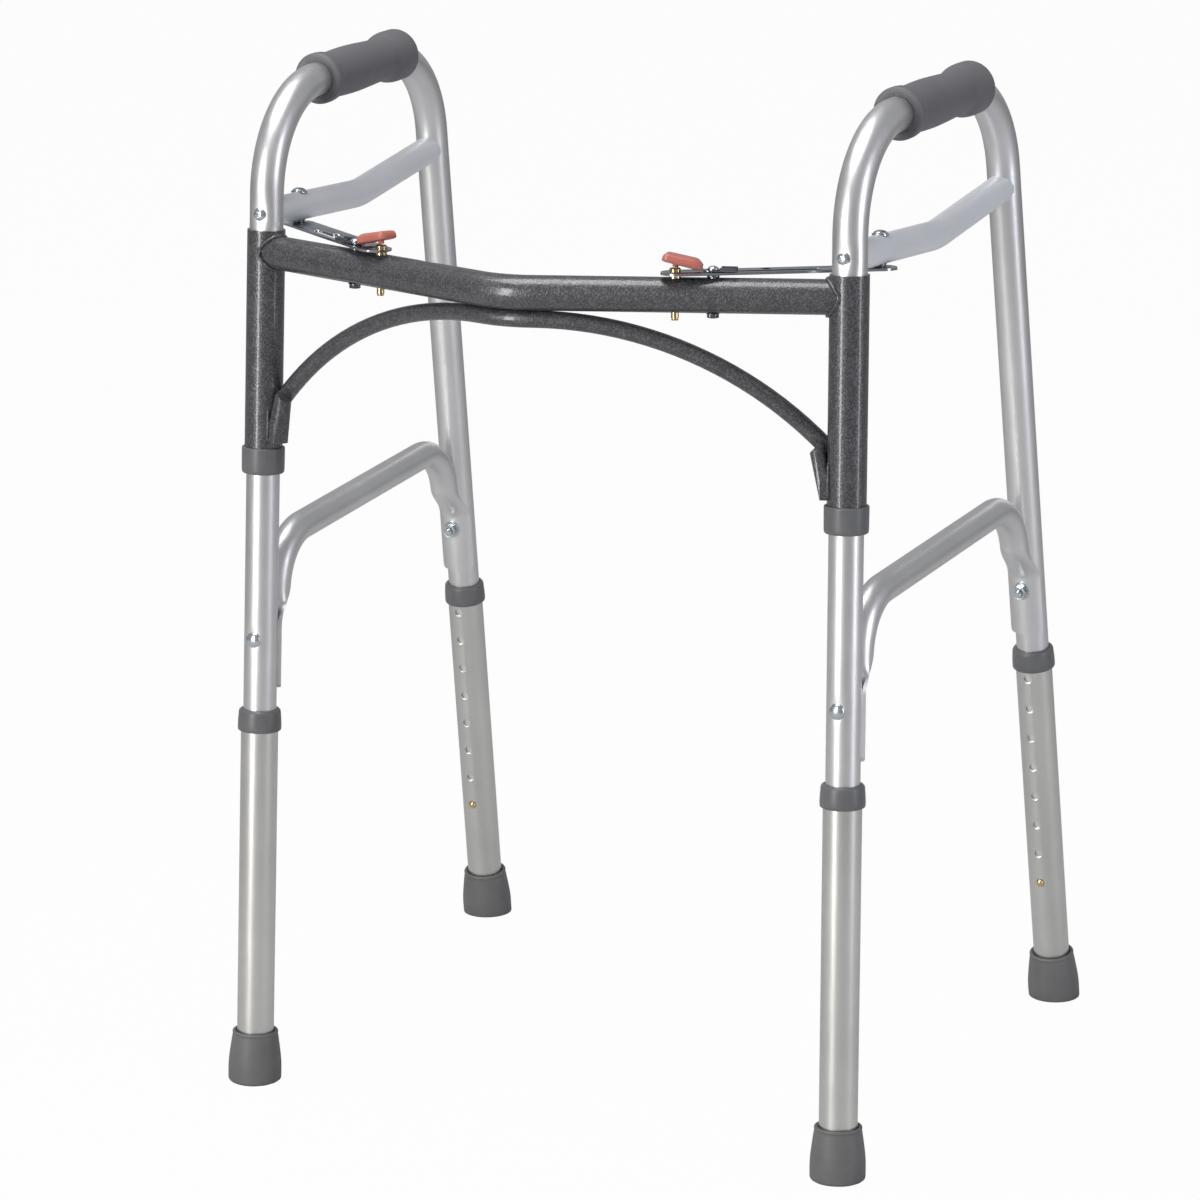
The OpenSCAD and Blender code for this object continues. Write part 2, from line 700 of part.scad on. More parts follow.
// Spring leaf under the latch bolt's head, with its turned-up tail
leaf_v = plate_top + 0.5;
leaf_t = 1.2;
module latch_spring_leaf() {
  color(zinc) at_latch(leaf_v) difference() {
    union() {
      cylinder(r = 6, h = leaf_t);
      translate([-17, -5, 0]) cube([23.2, 10, leaf_t]);
      for (y = [-5, 3.8]) translate([-17, y, 0]) cube([10.5, 1.2, 3.2]);
    }
    translate([0, 0, -1]) cylinder(r = latch_bolt_r + 0.05, h = 10);
  }
}

module latch_bolts() {
  top = leaf_v + leaf_t;
  bottom = latch_point[2] - bar_r - 3.6;
  color(zinc) for (s = SIDES) in_side(s) at_latch() {
    translate([0, 0, top]) dome(4.4, 2.8);
    translate([0, 0, bottom]) cylinder(r = latch_bolt_r, h = top - bottom + 0.2);
  }
}

module latch_nuts() {
  color(zinc) for (s = SIDES) in_side(s) at_latch(latch_point[2] - bar_r - 3.2) difference() {
    cylinder(r = 4.4, h = 3, $fn = 6);
    translate([0, 0, -1]) cylinder(r = latch_bolt_r, h = 6);
  }
}

// Paddle: a moulded thumb plate on the sprung end of the leaf, in latch axes from its flexing line
paddle_under = -0.4;
module release_paddle() {
  boss_at = 19.6;
  paddle_l = 28.5;
  paddle_w = 16.8;
  color(coral) at_latch(plate_top) translate([paddle_pivot[0], 0, paddle_pivot[1]]) rotate([0, -paddle_tilt, 0]) {
    difference() {
      translate([1, 0, 0]) rotate([90, 0, 0]) linear_extrude(paddle_w, center = true)
        polygon(concat([[0, paddle_under], [paddle_l, paddle_under + 0.2]],
          arc([paddle_l - 2.4, 4.2], 2.4, 0, 90), [[4.2, 7.2], [1.6, 5.6]]));
      for (y = [-1, 1]) translate([paddle_l + 1, y * paddle_w / 2, -2]) rotate([0, 0, 45])
        cube([4.5, 4.5, 30], center = true);
    }
    translate([boss_at, 0, paddle_under - 2.1]) cylinder(r = 2.2, h = 2.4);
  }
}

pin_top_v = plate_top + 2.35;
pin_shoulder_v = pin_bar_v + 6;
pin_bottom_v = pin_bar_v - bar_r - 5.4;
module lock_pin() {
  color(brass) at_latch() translate([lock_pin_at, 0, 0]) {
    translate([0, 0, pin_shoulder_v]) cylinder(r = pin_top_r, h = pin_top_v - 1.2 - pin_shoulder_v);
    translate([0, 0, pin_top_v - 1.2 - lap]) dome(pin_top_r, 1.2);
    translate([0, 0, pin_bottom_v]) cylinder(r = pin_r, h = pin_shoulder_v - pin_bottom_v + lap);
  }
}

module pin_spring() {
  low = pin_bar_v - 9.8;
  color(zinc) at_latch(low) translate([lock_pin_at, 0, 0]) ring(4.1, 3.2, pin_shoulder_v - low - 0.1);
}

// ---- The pieces by name ----

function shown(name) = node == "all" || node == name;

if (shown("crossbar")) crossbar();
if (shown("arch_brace")) arch_brace();
if (shown("weld_beads")) weld_beads();
if (shown("latch_bolts")) latch_bolts();
if (shown("latch_nuts")) latch_nuts();
for (s = SIDES) in_side(s) {
  if (shown(str(s, "_side_tube"))) side_tube();
  if (shown(str(s, "_hand_grip"))) hand_grip();
  if (shown(str(s, "_upper_arm"))) upper_arm();
  if (shown(str(s, "_lower_brace"))) lower_brace();
  if (shown(str(s, "_sleeve_collar"))) sleeve_collar();
  if (shown(str(s, "_collar_rivet"))) collar_rivet();
  if (shown(str(s, "_arm_screws"))) arm_screws();
  if (shown(str(s, "_arm_inserts"))) arm_inserts();
  if (shown(str(s, "_link_rivet"))) link_rivet();
  if (shown(str(s, "_brace_bolts"))) brace_bolts();
  if (shown(str(s, "_brace_nuts"))) brace_nuts();
  if (shown(str(s, "_snap_springs"))) snap_springs();
  if (shown(str(s, "_link_plate"))) link_plate(s);
  if (shown(str(s, "_guide_bush"))) guide_bush();
  if (shown(str(s, "_release_paddle"))) release_paddle();
  if (shown(str(s, "_lock_pin"))) lock_pin();
  if (shown(str(s, "_pin_spring"))) pin_spring();
  if (shown(str(s, "_hinge_sleeve"))) hinge_sleeve();
  if (shown(str(s, "_latch_spring_leaf"))) latch_spring_leaf();
  for (l = LEGS) {
    if (shown(str(s, "_", l, "_leg_extension"))) leg_extension(l);
    if (shown(str(s, "_", l, "_extension_collar"))) extension_collar(l);
    if (shown(str(s, "_", l, "_snap_button"))) snap_button(l);
  }
}
for (s = SIDES) for (l = LEGS)
  if (shown(str(s, "_", l, "_rubber_foot"))) above_floor() in_side(s) rubber_foot(l);
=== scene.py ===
"""Looks of the folding walking frame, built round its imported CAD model. Metres, the CAD model's own frame."""
import math

import bmesh
import bpy
import json
import numpy as np
from mathutils import Matrix, Vector, noise


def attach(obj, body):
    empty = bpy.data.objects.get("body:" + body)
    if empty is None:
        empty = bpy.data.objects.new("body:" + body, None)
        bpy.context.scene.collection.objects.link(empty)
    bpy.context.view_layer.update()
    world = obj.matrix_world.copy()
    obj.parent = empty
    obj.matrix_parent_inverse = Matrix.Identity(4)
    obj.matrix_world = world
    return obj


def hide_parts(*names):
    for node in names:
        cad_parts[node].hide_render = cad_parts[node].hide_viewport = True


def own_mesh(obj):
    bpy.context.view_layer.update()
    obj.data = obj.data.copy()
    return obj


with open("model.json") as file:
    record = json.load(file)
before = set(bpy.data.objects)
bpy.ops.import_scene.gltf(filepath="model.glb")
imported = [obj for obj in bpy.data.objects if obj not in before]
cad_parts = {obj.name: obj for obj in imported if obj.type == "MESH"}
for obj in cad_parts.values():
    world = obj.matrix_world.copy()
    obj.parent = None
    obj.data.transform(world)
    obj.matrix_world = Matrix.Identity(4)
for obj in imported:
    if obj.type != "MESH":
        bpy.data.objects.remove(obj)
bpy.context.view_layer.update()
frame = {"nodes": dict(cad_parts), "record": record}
NODES = frame["nodes"]
MM = 0.001
SIDES = ("left", "right")
LEGS = ("front", "rear")


# ---------------------------------------------------------------- placing, as in the CAD model
def rot(axis, degrees):
    return Matrix.Rotation(math.radians(degrees), 4, axis)


HALF_WIDTH, DEPTH_CENTRE = 246.4, 202.7
LEAN_BACK, LEAN_IN, FLARE, LEG_ANGLE, SIDE_REACH = 3.97, 0.86, 1.77, 11.88, 424.4
TUBE_R, EXT_R, BAR_R, ARM_R, BRACE_R = 12.7, 14.3, 12.7, 10.8, 11.1
SIDE_AXES = (Matrix.Translation((-HALF_WIDTH, -DEPTH_CENTRE, 0))
             @ rot("Y", LEAN_IN) @ rot("X", -LEAN_BACK) @ rot("Z", FLARE))
U_DIR, V_DIR = (SIDE_AXES.to_3x3().col[i] for i in (1, 2))
LEVEL = math.atan2(-U_DIR.z, V_DIR.z)
REAR_U, REAR_V = SIDE_REACH * math.cos(LEVEL), SIDE_REACH * math.sin(LEVEL)
TOP_SLOPE, LEAN_SLOPE = math.tan(LEVEL), math.tan(math.radians(LEG_ANGLE))
LEG_AXES = {"front": Matrix.Identity(4),
            "rear": Matrix.Translation((0, REAR_U, REAR_V)) @ rot("X", LEG_ANGLE)}
HANDLE_V, SIDE_BEND_R = 767, 80
FRONT_PIN_V, REAR_PIN_W = 95.9, 107.3
LEG_TOP = {"front": 295.6, "rear": 307.0}
PIN_AT = {"front": FRONT_PIN_V, "rear": REAR_PIN_W}
ARM_V, BRACE_BOLT_V, REAR_BOLT_W = 678.2, 352.4, 361.6
SLEEVE_BOTTOM = 501.3
BAR_Z, BAR_BOW = 648, 30
PLATE_V, PLATE_T, RIVET_U, SLOT_OFFSET = 664.0, 1.8, 52.0, 4.8

SLEEVE_POINT = V_DIR * (BAR_Z / V_DIR.z)
BAR_DIR = (Vector((HALF_WIDTH, -BAR_BOW, BAR_Z)) - SLEEVE_POINT).normalized()
BAR_SIDE = SIDE_AXES.to_3x3().transposed() @ BAR_DIR
BAR_SIDE_TURN = math.degrees(math.atan2(BAR_SIDE.y, BAR_SIDE.x))
LATCH = Vector((0, 0, BAR_Z / V_DIR.z)) + BAR_SIDE * 96.8    # the latch bolt
PIN_LATCH_X = 27.2                 # from the latch bolt to the lock pin
FOLD_LIMIT = {j["name"].removesuffix("_fold"): j["range_deg"][1]
              for j in frame["record"]["behaviour"]["joints"] if j["name"].endswith("_fold")}
LATCH_AXES = Matrix.Translation((LATCH.x, LATCH.y, 0)) @ rot("Z", BAR_SIDE_TURN)
BOLT_FROM_RIVET = Vector((LATCH.x, LATCH.y - RIVET_U))
PLATE_TURN = math.degrees(math.atan2(BOLT_FROM_RIVET.y, BOLT_FROM_RIVET.x)
                          + math.asin(SLOT_OFFSET / BOLT_FROM_RIVET.length))
LINK_AXES = Matrix.Translation((0, RIVET_U, 0)) @ rot("Z", PLATE_TURN)
PLATE_TOP = PLATE_V + PLATE_T
ARM_BEND_U, ARM_RISE = 150, math.tan(math.radians(10.5))
ARM_LEVEL = (REAR_U - ARM_BEND_U - (ARM_V - REAR_V) * LEAN_SLOPE) / (1 + ARM_RISE * LEAN_SLOPE)
ARM_REAR_W = (ARM_V + ARM_LEVEL * ARM_RISE - REAR_V) / math.cos(math.radians(LEG_ANGLE))


def side_matrix(side):
    """Side axes in millimetres to the row frame in metres."""
    mirror = Matrix.Scale(-1, 4, (1, 0, 0)) if side == "right" else Matrix.Identity(4)
    return Matrix.Scale(MM, 4) @ mirror @ SIDE_AXES


# ---------------------------------------------------------------- materials
def material(name):
    m = bpy.data.materials.new(name)
    m.use_nodes = True
    t = m.node_tree
    shader = t.nodes["Principled BSDF"]
    where = t.nodes.new("ShaderNodeTexCoord")
    return m, t, shader, where.outputs["Object"]


def scaled(t, coord, scale):
    mapping = t.nodes.new("ShaderNodeMapping")
    mapping.inputs["Scale"].default_value = scale if hasattr(scale, "__len__") else (scale,) * 3
    t.links.new(coord, mapping.inputs["Vector"])
    return mapping.outputs["Vector"]


def noise_of(t, coord, scale, detail=3.0, rough=0.55, distortion=0.0):
    n = t.nodes.new("ShaderNodeTexNoise")
    n.inputs["Scale"].default_value = 1.0
    n.inputs["Detail"].default_value = detail
    n.inputs["Roughness"].default_value = rough
    n.inputs["Distortion"].default_value = distortion
    t.links.new(scaled(t, coord, scale), n.inputs["Vector"])
    return n.outputs["Fac"]


def cells_of(t, coord, scale, feature="F1", randomness=1.0):
    n = t.nodes.new("ShaderNodeTexVoronoi")
    n.feature = feature
    n.inputs["Scale"].default_value = 1.0
    n.inputs["Randomness"].default_value = randomness
    t.links.new(scaled(t, coord, scale), n.inputs["Vector"])
    return n


def ramp_of(t, value, stops):
    n = t.nodes.new("ShaderNodeValToRGB")
    el = n.color_ramp.elements
    while len(el) < len(stops):
        el.new(0.5)
    for e, (at, colour) in zip(el, stops):
        e.position = at
        e.color = (*colour, 1) if hasattr(colour, "__len__") else (colour, colour, colour, 1)
    t.links.new(value, n.inputs["Fac"])
    return n.outputs["Color"]


def range_of(t, value, a, b, c, d):
    n = t.nodes.new("ShaderNodeMapRange")
    for i, v in enumerate((a, b, c, d)):
        n.inputs[i + 1].default_value = v
    t.links.new(value, n.inputs[0])
    return n.outputs[0]


def math_of(t, op, a, b):
    n = t.nodes.new("ShaderNodeMath")
    n.operation = op
    for i, v in enumerate((a, b)):
        if isinstance(v, (int, float)):
            n.inputs[i].default_value = v
        else:
            t.links.new(v, n.inputs[i])
    return n.outputs[0]


def bump_of(t, shader, height, distance, strength=1.0):
    n = t.nodes.new("ShaderNodeBump")
    n.inputs["Distance"].default_value = distance
    n.inputs["Strength"].default_value = strength
    t.links.new(height, n.inputs["Height"])
    t.links.new(n.outputs["Normal"], shader.inputs["Normal"])


def satin_metal(name, tint, rough, grain=1.0, spread=0.05, metal=1.0):
    """Anodised or plated metal: fine even grain, faint cloudiness and small handling marks."""
    m, t, s, co = material(name)
    s.inputs["Metallic"].default_value = metal
    cloud = noise_of(t, co, 14, 4)
    dark = tuple(c * (1 - spread) for c in tint)
    light = tuple(min(1.0, c * (1 + spread)) for c in tint)
    t.links.new(ramp_of(t, cloud, [(0.3, dark), (0.7, light)]), s.inputs["Base Color"])
    fine = noise_of(t, co, 2600, 2)
    marks = noise_of(t, co, (220, 220, 35), 6, 0.7)
    r = math_of(t, "ADD", range_of(t, fine, 0.3, 0.7, rough - 0.03, rough + 0.03),
                range_of(t, marks, 0.35, 0.75, -0.03, 0.05))
    t.links.new(r, s.inputs["Roughness"])
    bump_of(t, s, math_of(t, "ADD", fine, math_of(t, "MULTIPLY", marks, 0.6)), 0.00003 * grain, 0.55)
    return m


def hammertone(name):
    """Dark grey hammered paint: fine pebbles, lighter flecks and small bright glints under a clear gloss."""
    m, t, s, co = material(name)
    s.inputs["Metallic"].default_value = 0.35
    s.inputs["Coat Weight"].default_value = 0.5
    s.inputs["Coat Roughness"].default_value = 0.12
    cells = cells_of(t, co, 760, "SMOOTH_F1", 1.0)
    cells.inputs["Smoothness"].default_value = 0.5
    fine = noise_of(t, co, 1500, 3)
    broad = noise_of(t, co, 160, 4)
    tone = math_of(t, "ADD", math_of(t, "MULTIPLY", cells.outputs["Distance"], 0.55),
                   math_of(t, "ADD", math_of(t, "MULTIPLY", fine, 0.3), math_of(t, "MULTIPLY", broad, 0.3)))
    t.links.new(ramp_of(t, tone, [(0.30, (0.038, 0.038, 0.041)), (0.52, (0.062, 0.061, 0.067)),
                                  (0.72, (0.125, 0.122, 0.132))]), s.inputs["Base Color"])
    t.links.new(range_of(t, fine, 0.3, 0.75, 0.42, 0.26), s.inputs["Roughness"])
    bump_of(t, s, tone, 0.00045, 0.75)
    return m


def moulded(name, colour, rough, grain, depth, mottle=0.10, coat=0.0, subsurface=0.0):
    """Moulded plastic, vinyl or rubber: fine skin grain with faint mottling."""
    m, t, s, co = material(name)
    if coat:
        s.inputs["Coat Weight"].default_value = coat
        s.inputs["Coat Roughness"].default_value = 0.2
    if subsurface:
        s.inputs["Subsurface Weight"].default_value = subsurface
        s.inputs["Subsurface Radius"].default_value = (0.004, 0.002, 0.001)
    cloud = noise_of(t, co, 45, 5, 0.6)
    dark = tuple(c * (1 - mottle) for c in colour)
    light = tuple(c * (1 + mottle) for c in colour)
    t.links.new(ramp_of(t, cloud, [(0.32, dark), (0.68, light)]), s.inputs["Base Color"])
    skin = noise_of(t, co, grain, 4, 0.6)
    t.links.new(range_of(t, skin, 0.3, 0.7, rough + 0.06, rough - 0.05), s.inputs["Roughness"])
    bump_of(t, s, math_of(t, "ADD", skin, math_of(t, "MULTIPLY", cloud, 0.8)), depth, 0.5)
    return m


MAT = {
    "satin_aluminium": satin_metal("satin_aluminium", (0.76, 0.76, 0.765), 0.38),
    "extension_aluminium": satin_metal("extension_aluminium", (0.70, 0.695, 0.67), 0.33, 1.4),
    "blue_aluminium": satin_metal("blue_aluminium", (0.80, 0.82, 0.86), 0.50, 1.6, 0.03, 0.45),
    "hammertone_steel": hammertone("hammertone_steel"),
    "collar_plastic": moulded("collar_plastic", (0.125, 0.127, 0.133), 0.36, 1500, 0.00003),
    "grip_vinyl": moulded("grip_vinyl", (0.135, 0.130, 0.142), 0.50, 1300, 0.00008, 0.06),
    "foot_rubber": moulded("foot_rubber", (0.130, 0.130, 0.132), 0.50, 700, 0.00010, 0.09),
    "zinc_steel": satin_metal("zinc_steel", (0.60, 0.64, 0.67), 0.22, 1.0, 0.12),
    "link_zinc": satin_metal("link_zinc", (0.36, 0.38, 0.40), 0.20, 1.0, 0.15),
    # A darker copy of zinc_steel: painted shade for the zinc parts tucked under or between other parts (rivet
    # barrel, guide bush, latch leaf, latch nut).
    "zinc_painted_shade": satin_metal("zinc_painted_shade", (0.20, 0.21, 0.225), 0.26, 1.0, 0.12),
    "brass": satin_metal("brass", (0.72, 0.56, 0.30), 0.20, 0.8, 0.06),
    "coral_plastic": moulded("coral_plastic", (0.49, 0.142, 0.112), 0.40, 900, 0.00005, 0.05, 0.25, 0.06),
    "black_plastic": moulded("black_plastic", (0.018, 0.018, 0.019), 0.38, 900, 0.00004),
}


# ---------------------------------------------------------------- mesh tools (millimetres)
def to_object(bm, name, matrix, body, slot, look=None, replaces=(), sharp=35.0):
    bm.transform(matrix)
    bmesh.ops.recalc_face_normals(bm, faces=bm.faces)
    mesh = bpy.data.meshes.new(name)
    bm.to_mesh(mesh)
    bm.free()
    mesh.polygons.foreach_set("use_smooth", [True] * len(mesh.polygons))
    mesh.set_sharp_from_angle(angle=math.radians(sharp))
    o = bpy.data.objects.new(name, mesh)
    bpy.context.scene.collection.objects.link(o)
    mesh.materials.append(MAT[look or slot])
    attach(o, body)
    if replaces:
        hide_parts(*replaces)
    return o


def loft(bm, rings, closed_path=False, cap=True):
    """Rings of points with the same count, joined by quads."""
    made = [[bm.verts.new(p) for p in ring] for ring in rings]
    n = len(made[0])
    pairs = list(zip(made, made[1:])) + ([(made[-1], made[0])] if closed_path else [])
    for a, b in pairs:
        for i in range(n):
            j = (i + 1) % n
            bm.faces.new((a[i], a[j], b[j], b[i]))
    if cap and not closed_path:
        bm.faces.new(reversed(made[0]))
        bm.faces.new(made[-1])
    return bm


def lathe(outline, segs=64, matrix=None, bm=None):
    """A turned shape from [radius, height] points. With both ends off the axis, it closes on itself."""
    bm = bm or bmesh.new()
    m = matrix or Matrix.Identity(4)
    rows = []
    for r, z in outline:
        if r < 1e-6:
            rows.append([bm.verts.new(m @ Vector((0, 0, z)))])
        else:
            rows.append([bm.verts.new(m @ Vector((r * math.cos(a), r * math.sin(a), z)))
                         for a in (2 * math.pi * i / segs for i in range(segs))])
    open_ends = len(rows[0]) > 1 and len(rows[-1]) > 1
    for a, b in list(zip(rows, rows[1:])) + ([(rows[-1], rows[0])] if open_ends else []):
        for i in range(segs):
            j = (i + 1) % segs
            if len(a) == 1:
                bm.faces.new((a[0], b[j], b[i]))
            elif len(b) == 1:
                bm.faces.new((a[i], a[j], b[0]))
            else:
                bm.faces.new((a[i], a[j], b[j], b[i]))
    return bm


def arc(c, r, a, b, steps=6):
    return [(c[0] + r * math.cos(math.radians(a + (b - a) * i / steps)),
             c[1] + r * math.sin(math.radians(a + (b - a) * i / steps))) for i in range(steps + 1)]


def dome(r, h, base, angles, power=1.0):
    """Outline points of a domed end of radius r and height h; angles are in degrees from the axis."""
    return [(r * math.sin(math.radians(a)), base + h * math.cos(math.radians(a)) ** power) for a in angles]


def raised(v):
    return Matrix.Translation((0, 0, v))


def facing(direction):
    """Turns the axis of a screw or button to point out of a leg, forwards or backwards."""
    return rot("X", 90 if direction == "front" else -90)


def along(path, r, segs=40, section=None):
    """Rings round a path of (point, tangent, across) stations; section(i, angle) may bend the circle."""
    rings = []
    for i, (p, tangent, across) in enumerate(path):
        up = tangent.cross(across).normalized()
        ring = []
        for k in range(segs):
            a = 2 * math.pi * k / segs
            q = section(i, a) if section else (r * math.cos(a), r * math.sin(a))
            ring.append(p + across * q[0] + up * q[1])
        rings.append(ring)
    return rings


def plane_path(pieces, start, heading, step=4.0):
    """Stations in the y-z plane: pieces are (run, bend radius, turn in degrees towards +y or -y)."""
    y, z = start
    a = math.radians(heading)          # direction (sin a, cos a) in (y, z)
    out = [(y, z, a)]
    for run, bend_r, turn in pieces:
        n = max(1, int(run / step))
        for i in range(1, n + 1):
            out.append((y + math.sin(a) * run * i / n, z + math.cos(a) * run * i / n, a))
        y, z = out[-1][:2]
        if turn:
            n = max(6, int(abs(turn) / 3))
            s = 1 if turn > 0 else -1
            cy, cz = y + s * bend_r * math.cos(a), z - s * bend_r * math.sin(a)
            for i in range(1, n + 1):
                b = a + math.radians(turn) * i / n
                out.append((cy - s * bend_r * math.cos(b), cz + s * bend_r * math.sin(b), b))
            y, z, a = out[-1]
    return [(Vector((0, p, q)), Vector((0, math.sin(b), math.cos(b))), Vector((1, 0, 0))) for p, q, b in out]


def slab(outline, z0, z1, bevel=0.0, bm=None):
    """A flat plate from a closed outline of [x, y] points, with softened edges."""
    bm = bm or bmesh.new()
    top = [bm.verts.new((x, y, z1)) for x, y in outline]
    low = [bm.verts.new((x, y, z0)) for x, y in outline]
    faces = [bm.faces.new(top), bm.faces.new(list(reversed(low)))]
    n = len(outline)
    for i in range(n):
        j = (i + 1) % n
        bm.faces.new((top[j], top[i], low[i], low[j]))
    if bevel:
        edges = [e for f in faces for e in f.edges]
        bmesh.ops.bevel(bm, geom=edges, offset=bevel, segments=2, profile=0.5, affect="EDGES")
    return bm


# ---------------------------------------------------------------- camera, floor and light
def camera():
    data = bpy.data.cameras.new("camera")
    cam = bpy.data.objects.new("camera", data)
    bpy.context.scene.collection.objects.link(cam)
    yaw, pitch, roll = (math.radians(a) for a in (-25.97, 15.35, -0.84))
    place = (1.4214, -2.9988, 1.2730)
    forward = Vector((math.sin(yaw) * math.cos(pitch), math.cos(yaw) * math.cos(pitch), -math.sin(pitch)))
    right = Vector((math.cos(yaw), -math.sin(yaw), 0))
    up = right.cross(forward)
    r2 = right * math.cos(roll) + up * math.sin(roll)
    u2 = up * math.cos(roll) - right * math.sin(roll)
    spin = Matrix((r2, u2, -forward)).transposed().to_4x4()
    cam.matrix_world = Matrix.Translation(place) @ spin
    data.sensor_width = 36
    data.lens = 133.136
    data.clip_end = 100
    bpy.context.scene.camera = cam


def seen_white(tree, lit, white_kind, end_kind, share):
    """Lets the camera see plain white there, while what the object reflects stays as lit."""
    white = tree.nodes.new(white_kind)
    white.inputs["Color"].default_value = (1, 1, 1, 1)
    path = tree.nodes.new("ShaderNodeLightPath")
    mix = tree.nodes.new("ShaderNodeMixShader")
    tree.links.new(math_of(tree, "MULTIPLY", path.outputs["Is Camera Ray"], share), mix.inputs[0])
    tree.links.new(lit.outputs[0], mix.inputs[1])
    tree.links.new(white.outputs[0], mix.inputs[2])
    end = next(n for n in tree.nodes if n.type == end_kind)
    tree.links.new(mix.outputs[0], end.inputs["Surface"])


def floor():
    bm = bmesh.new()
    bmesh.ops.create_grid(bm, x_segments=8, y_segments=8, size=30)
    mesh = bpy.data.meshes.new("floor")
    bm.to_mesh(mesh)
    bm.free()
    o = bpy.data.objects.new("floor", mesh)
    bpy.context.scene.collection.objects.link(o)
    m, t, s, co = material("floor_white")
    t.links.new(ramp_of(t, noise_of(t, co, 3, 2), [(0.3, 0.54), (0.7, 0.56)]), s.inputs["Base Color"])
    s.inputs["Roughness"].default_value = 0.75
    s.inputs["Specular IOR Level"].default_value = 0.1
    seen_white(t, s, "ShaderNodeEmission", "OUTPUT_MATERIAL", 0.97)
    mesh.materials.append(m)


def softbox(name, place, aim, size, power, colour=(1, 1, 1)):
    light = bpy.data.lights.new(name, "AREA")
    light.shape = "RECTANGLE"
    light.size, light.size_y = size
    light.energy = power
    light.color = colour
    o = bpy.data.objects.new(name, light)
    bpy.context.scene.collection.objects.link(o)
    o.location = place
    o.rotation_euler = (Vector(aim) - Vector(place)).to_track_quat("-Z", "Y").to_euler()


def lighting():
    scene = bpy.context.scene
    scene.view_settings.view_transform = "Standard"
    world = bpy.data.worlds.new("studio")
    scene.world = world
    world.use_nodes = True
    background = world.node_tree.nodes["Background"]
    background.inputs["Color"].default_value = (0.96, 0.97, 1.0, 1)
    background.inputs["Strength"].default_value = 0.36
    seen_white(world.node_tree, background, "ShaderNodeBackground", "OUTPUT_WORLD", 1.0)
    softbox("key_left", (-0.9, -3.1, 1.1), (0, 0, 0.5), (0.6, 2.2), 58, (1.0, 0.99, 0.96))
    softbox("fill_right", (2.9, -0.2, 1.0), (0, 0, 0.5), (0.5, 2.0), 22, (0.93, 0.93, 1.0))
    softbox("top", (-0.4, -0.4, 2.8), (0, 0, 0.4), (1.4, 1.4), 38)


# ---------------------------------------------------------------- CAD nodes that keep their shape
KEEP = {
    "crossbar": "hammertone_steel", "arch_brace": "hammertone_steel", "hinge_sleeve": "hammertone_steel",
    "upper_arm": "blue_aluminium", "leg_extension": "extension_aluminium", "arm_inserts": "black_plastic",
    "snap_springs": "zinc_steel", "side_tube": "satin_aluminium", "lower_brace": "satin_aluminium",
    "hand_grip": "grip_vinyl", "rubber_foot": "foot_rubber", "sleeve_collar": "collar_plastic",
    "extension_collar": "collar_plastic", "collar_rivet": "black_plastic", "weld_beads": "hammertone_steel",
    "guide_bush": "brass", "lock_pin": "brass", "snap_button": "brass", "release_paddle": "coral_plastic",
}


def dress_cad():
    for name, o in NODES.items():
        look = next((m for key, m in KEEP.items() if name == key or name.endswith("_" + key)), "zinc_steel")
        o.data.materials.clear()
        o.data.materials.append(MAT[look])
        o.data.polygons.foreach_set("use_smooth", [True] * len(o.data.polygons))
        o.data.set_sharp_from_angle(angle=math.radians(32))


# ---------------------------------------------------------------- tubes
def pressed(depth, height, width, z, at):
    """How far a flat pressed round a screw sinks the tube's wall, at height z and angle from the screw."""
    above = height if z > 0 else 0.62 * height
    return depth * math.exp(-(z / above) ** 2 - (at / width) ** 2)


def side_tube(side, m):
    """The looped tube of one side, its wall pressed in round the arm screws and the brace bolts."""
    front_turn = 90 - math.degrees(LEVEL)
    rear_turn = 180 - LEG_ANGLE - front_turn
    corner_u = (REAR_U + (REAR_V - HANDLE_V) * LEAN_SLOPE) / (1 + TOP_SLOPE * LEAN_SLOPE)
    corner_v = HANDLE_V + corner_u * TOP_SLOPE
    t1 = SIDE_BEND_R * math.tan(math.radians(front_turn / 2))
    t2 = SIDE_BEND_R * math.tan(math.radians(rear_turn / 2))
    top = math.hypot(corner_u, corner_v - HANDLE_V) - t1 - t2
    rear = math.hypot(corner_u - REAR_U, corner_v - REAR_V) - t2 - (REAR_PIN_W - 25)
    start = FRONT_PIN_V - 25
    path = plane_path([(HANDLE_V - t1 - start, SIDE_BEND_R, front_turn), (top, SIDE_BEND_R, rear_turn),
                       (rear, 0, 0)], (0, start), 0, 2.5)
    rear_leg = LEG_AXES["rear"].inverted()

    def section(i, a):
        p = path[i][0]
        r = TUBE_R
        # the angle a runs from +x towards the bend's inside
        if p.y < 1.0:
            off = math.atan2(math.sin(a + math.pi / 2), math.cos(a + math.pi / 2))
            r -= pressed(1.9, 13.0, 0.62, p.z - ARM_V + 1.5, off)
            r -= pressed(0.9, 7.5, 0.50, p.z - BRACE_BOLT_V, off)
        elif p.y > 200 and p.z < 700:
            w = (rear_leg @ p).z
            off = math.atan2(math.sin(a + math.pi / 2), math.cos(a + math.pi / 2))
            r -= pressed(1.7, 12.0, 0.62, w - ARM_REAR_W, off)
            r -= pressed(0.9, 7.5, 0.50, w - REAR_BOLT_W, off)
        return r * math.cos(a), r * math.sin(a)

    bm = loft(bmesh.new(), along(path, TUBE_R, 56, section))
    to_object(bm, f"{side}_side_tube_body", m, f"{side}_side", "satin_aluminium",
              replaces=[f"{side}_side_tube"])


LEG_TO_BRACE = TUBE_R + BRACE_R + 0.15
BRACE_SLOPE, BRACE_BEND_R, BRACE_START_V = 6.1, 45, 384.5
STRAP_IN, STRAP_OUT = TUBE_R + 0.1, TUBE_R + 3.2


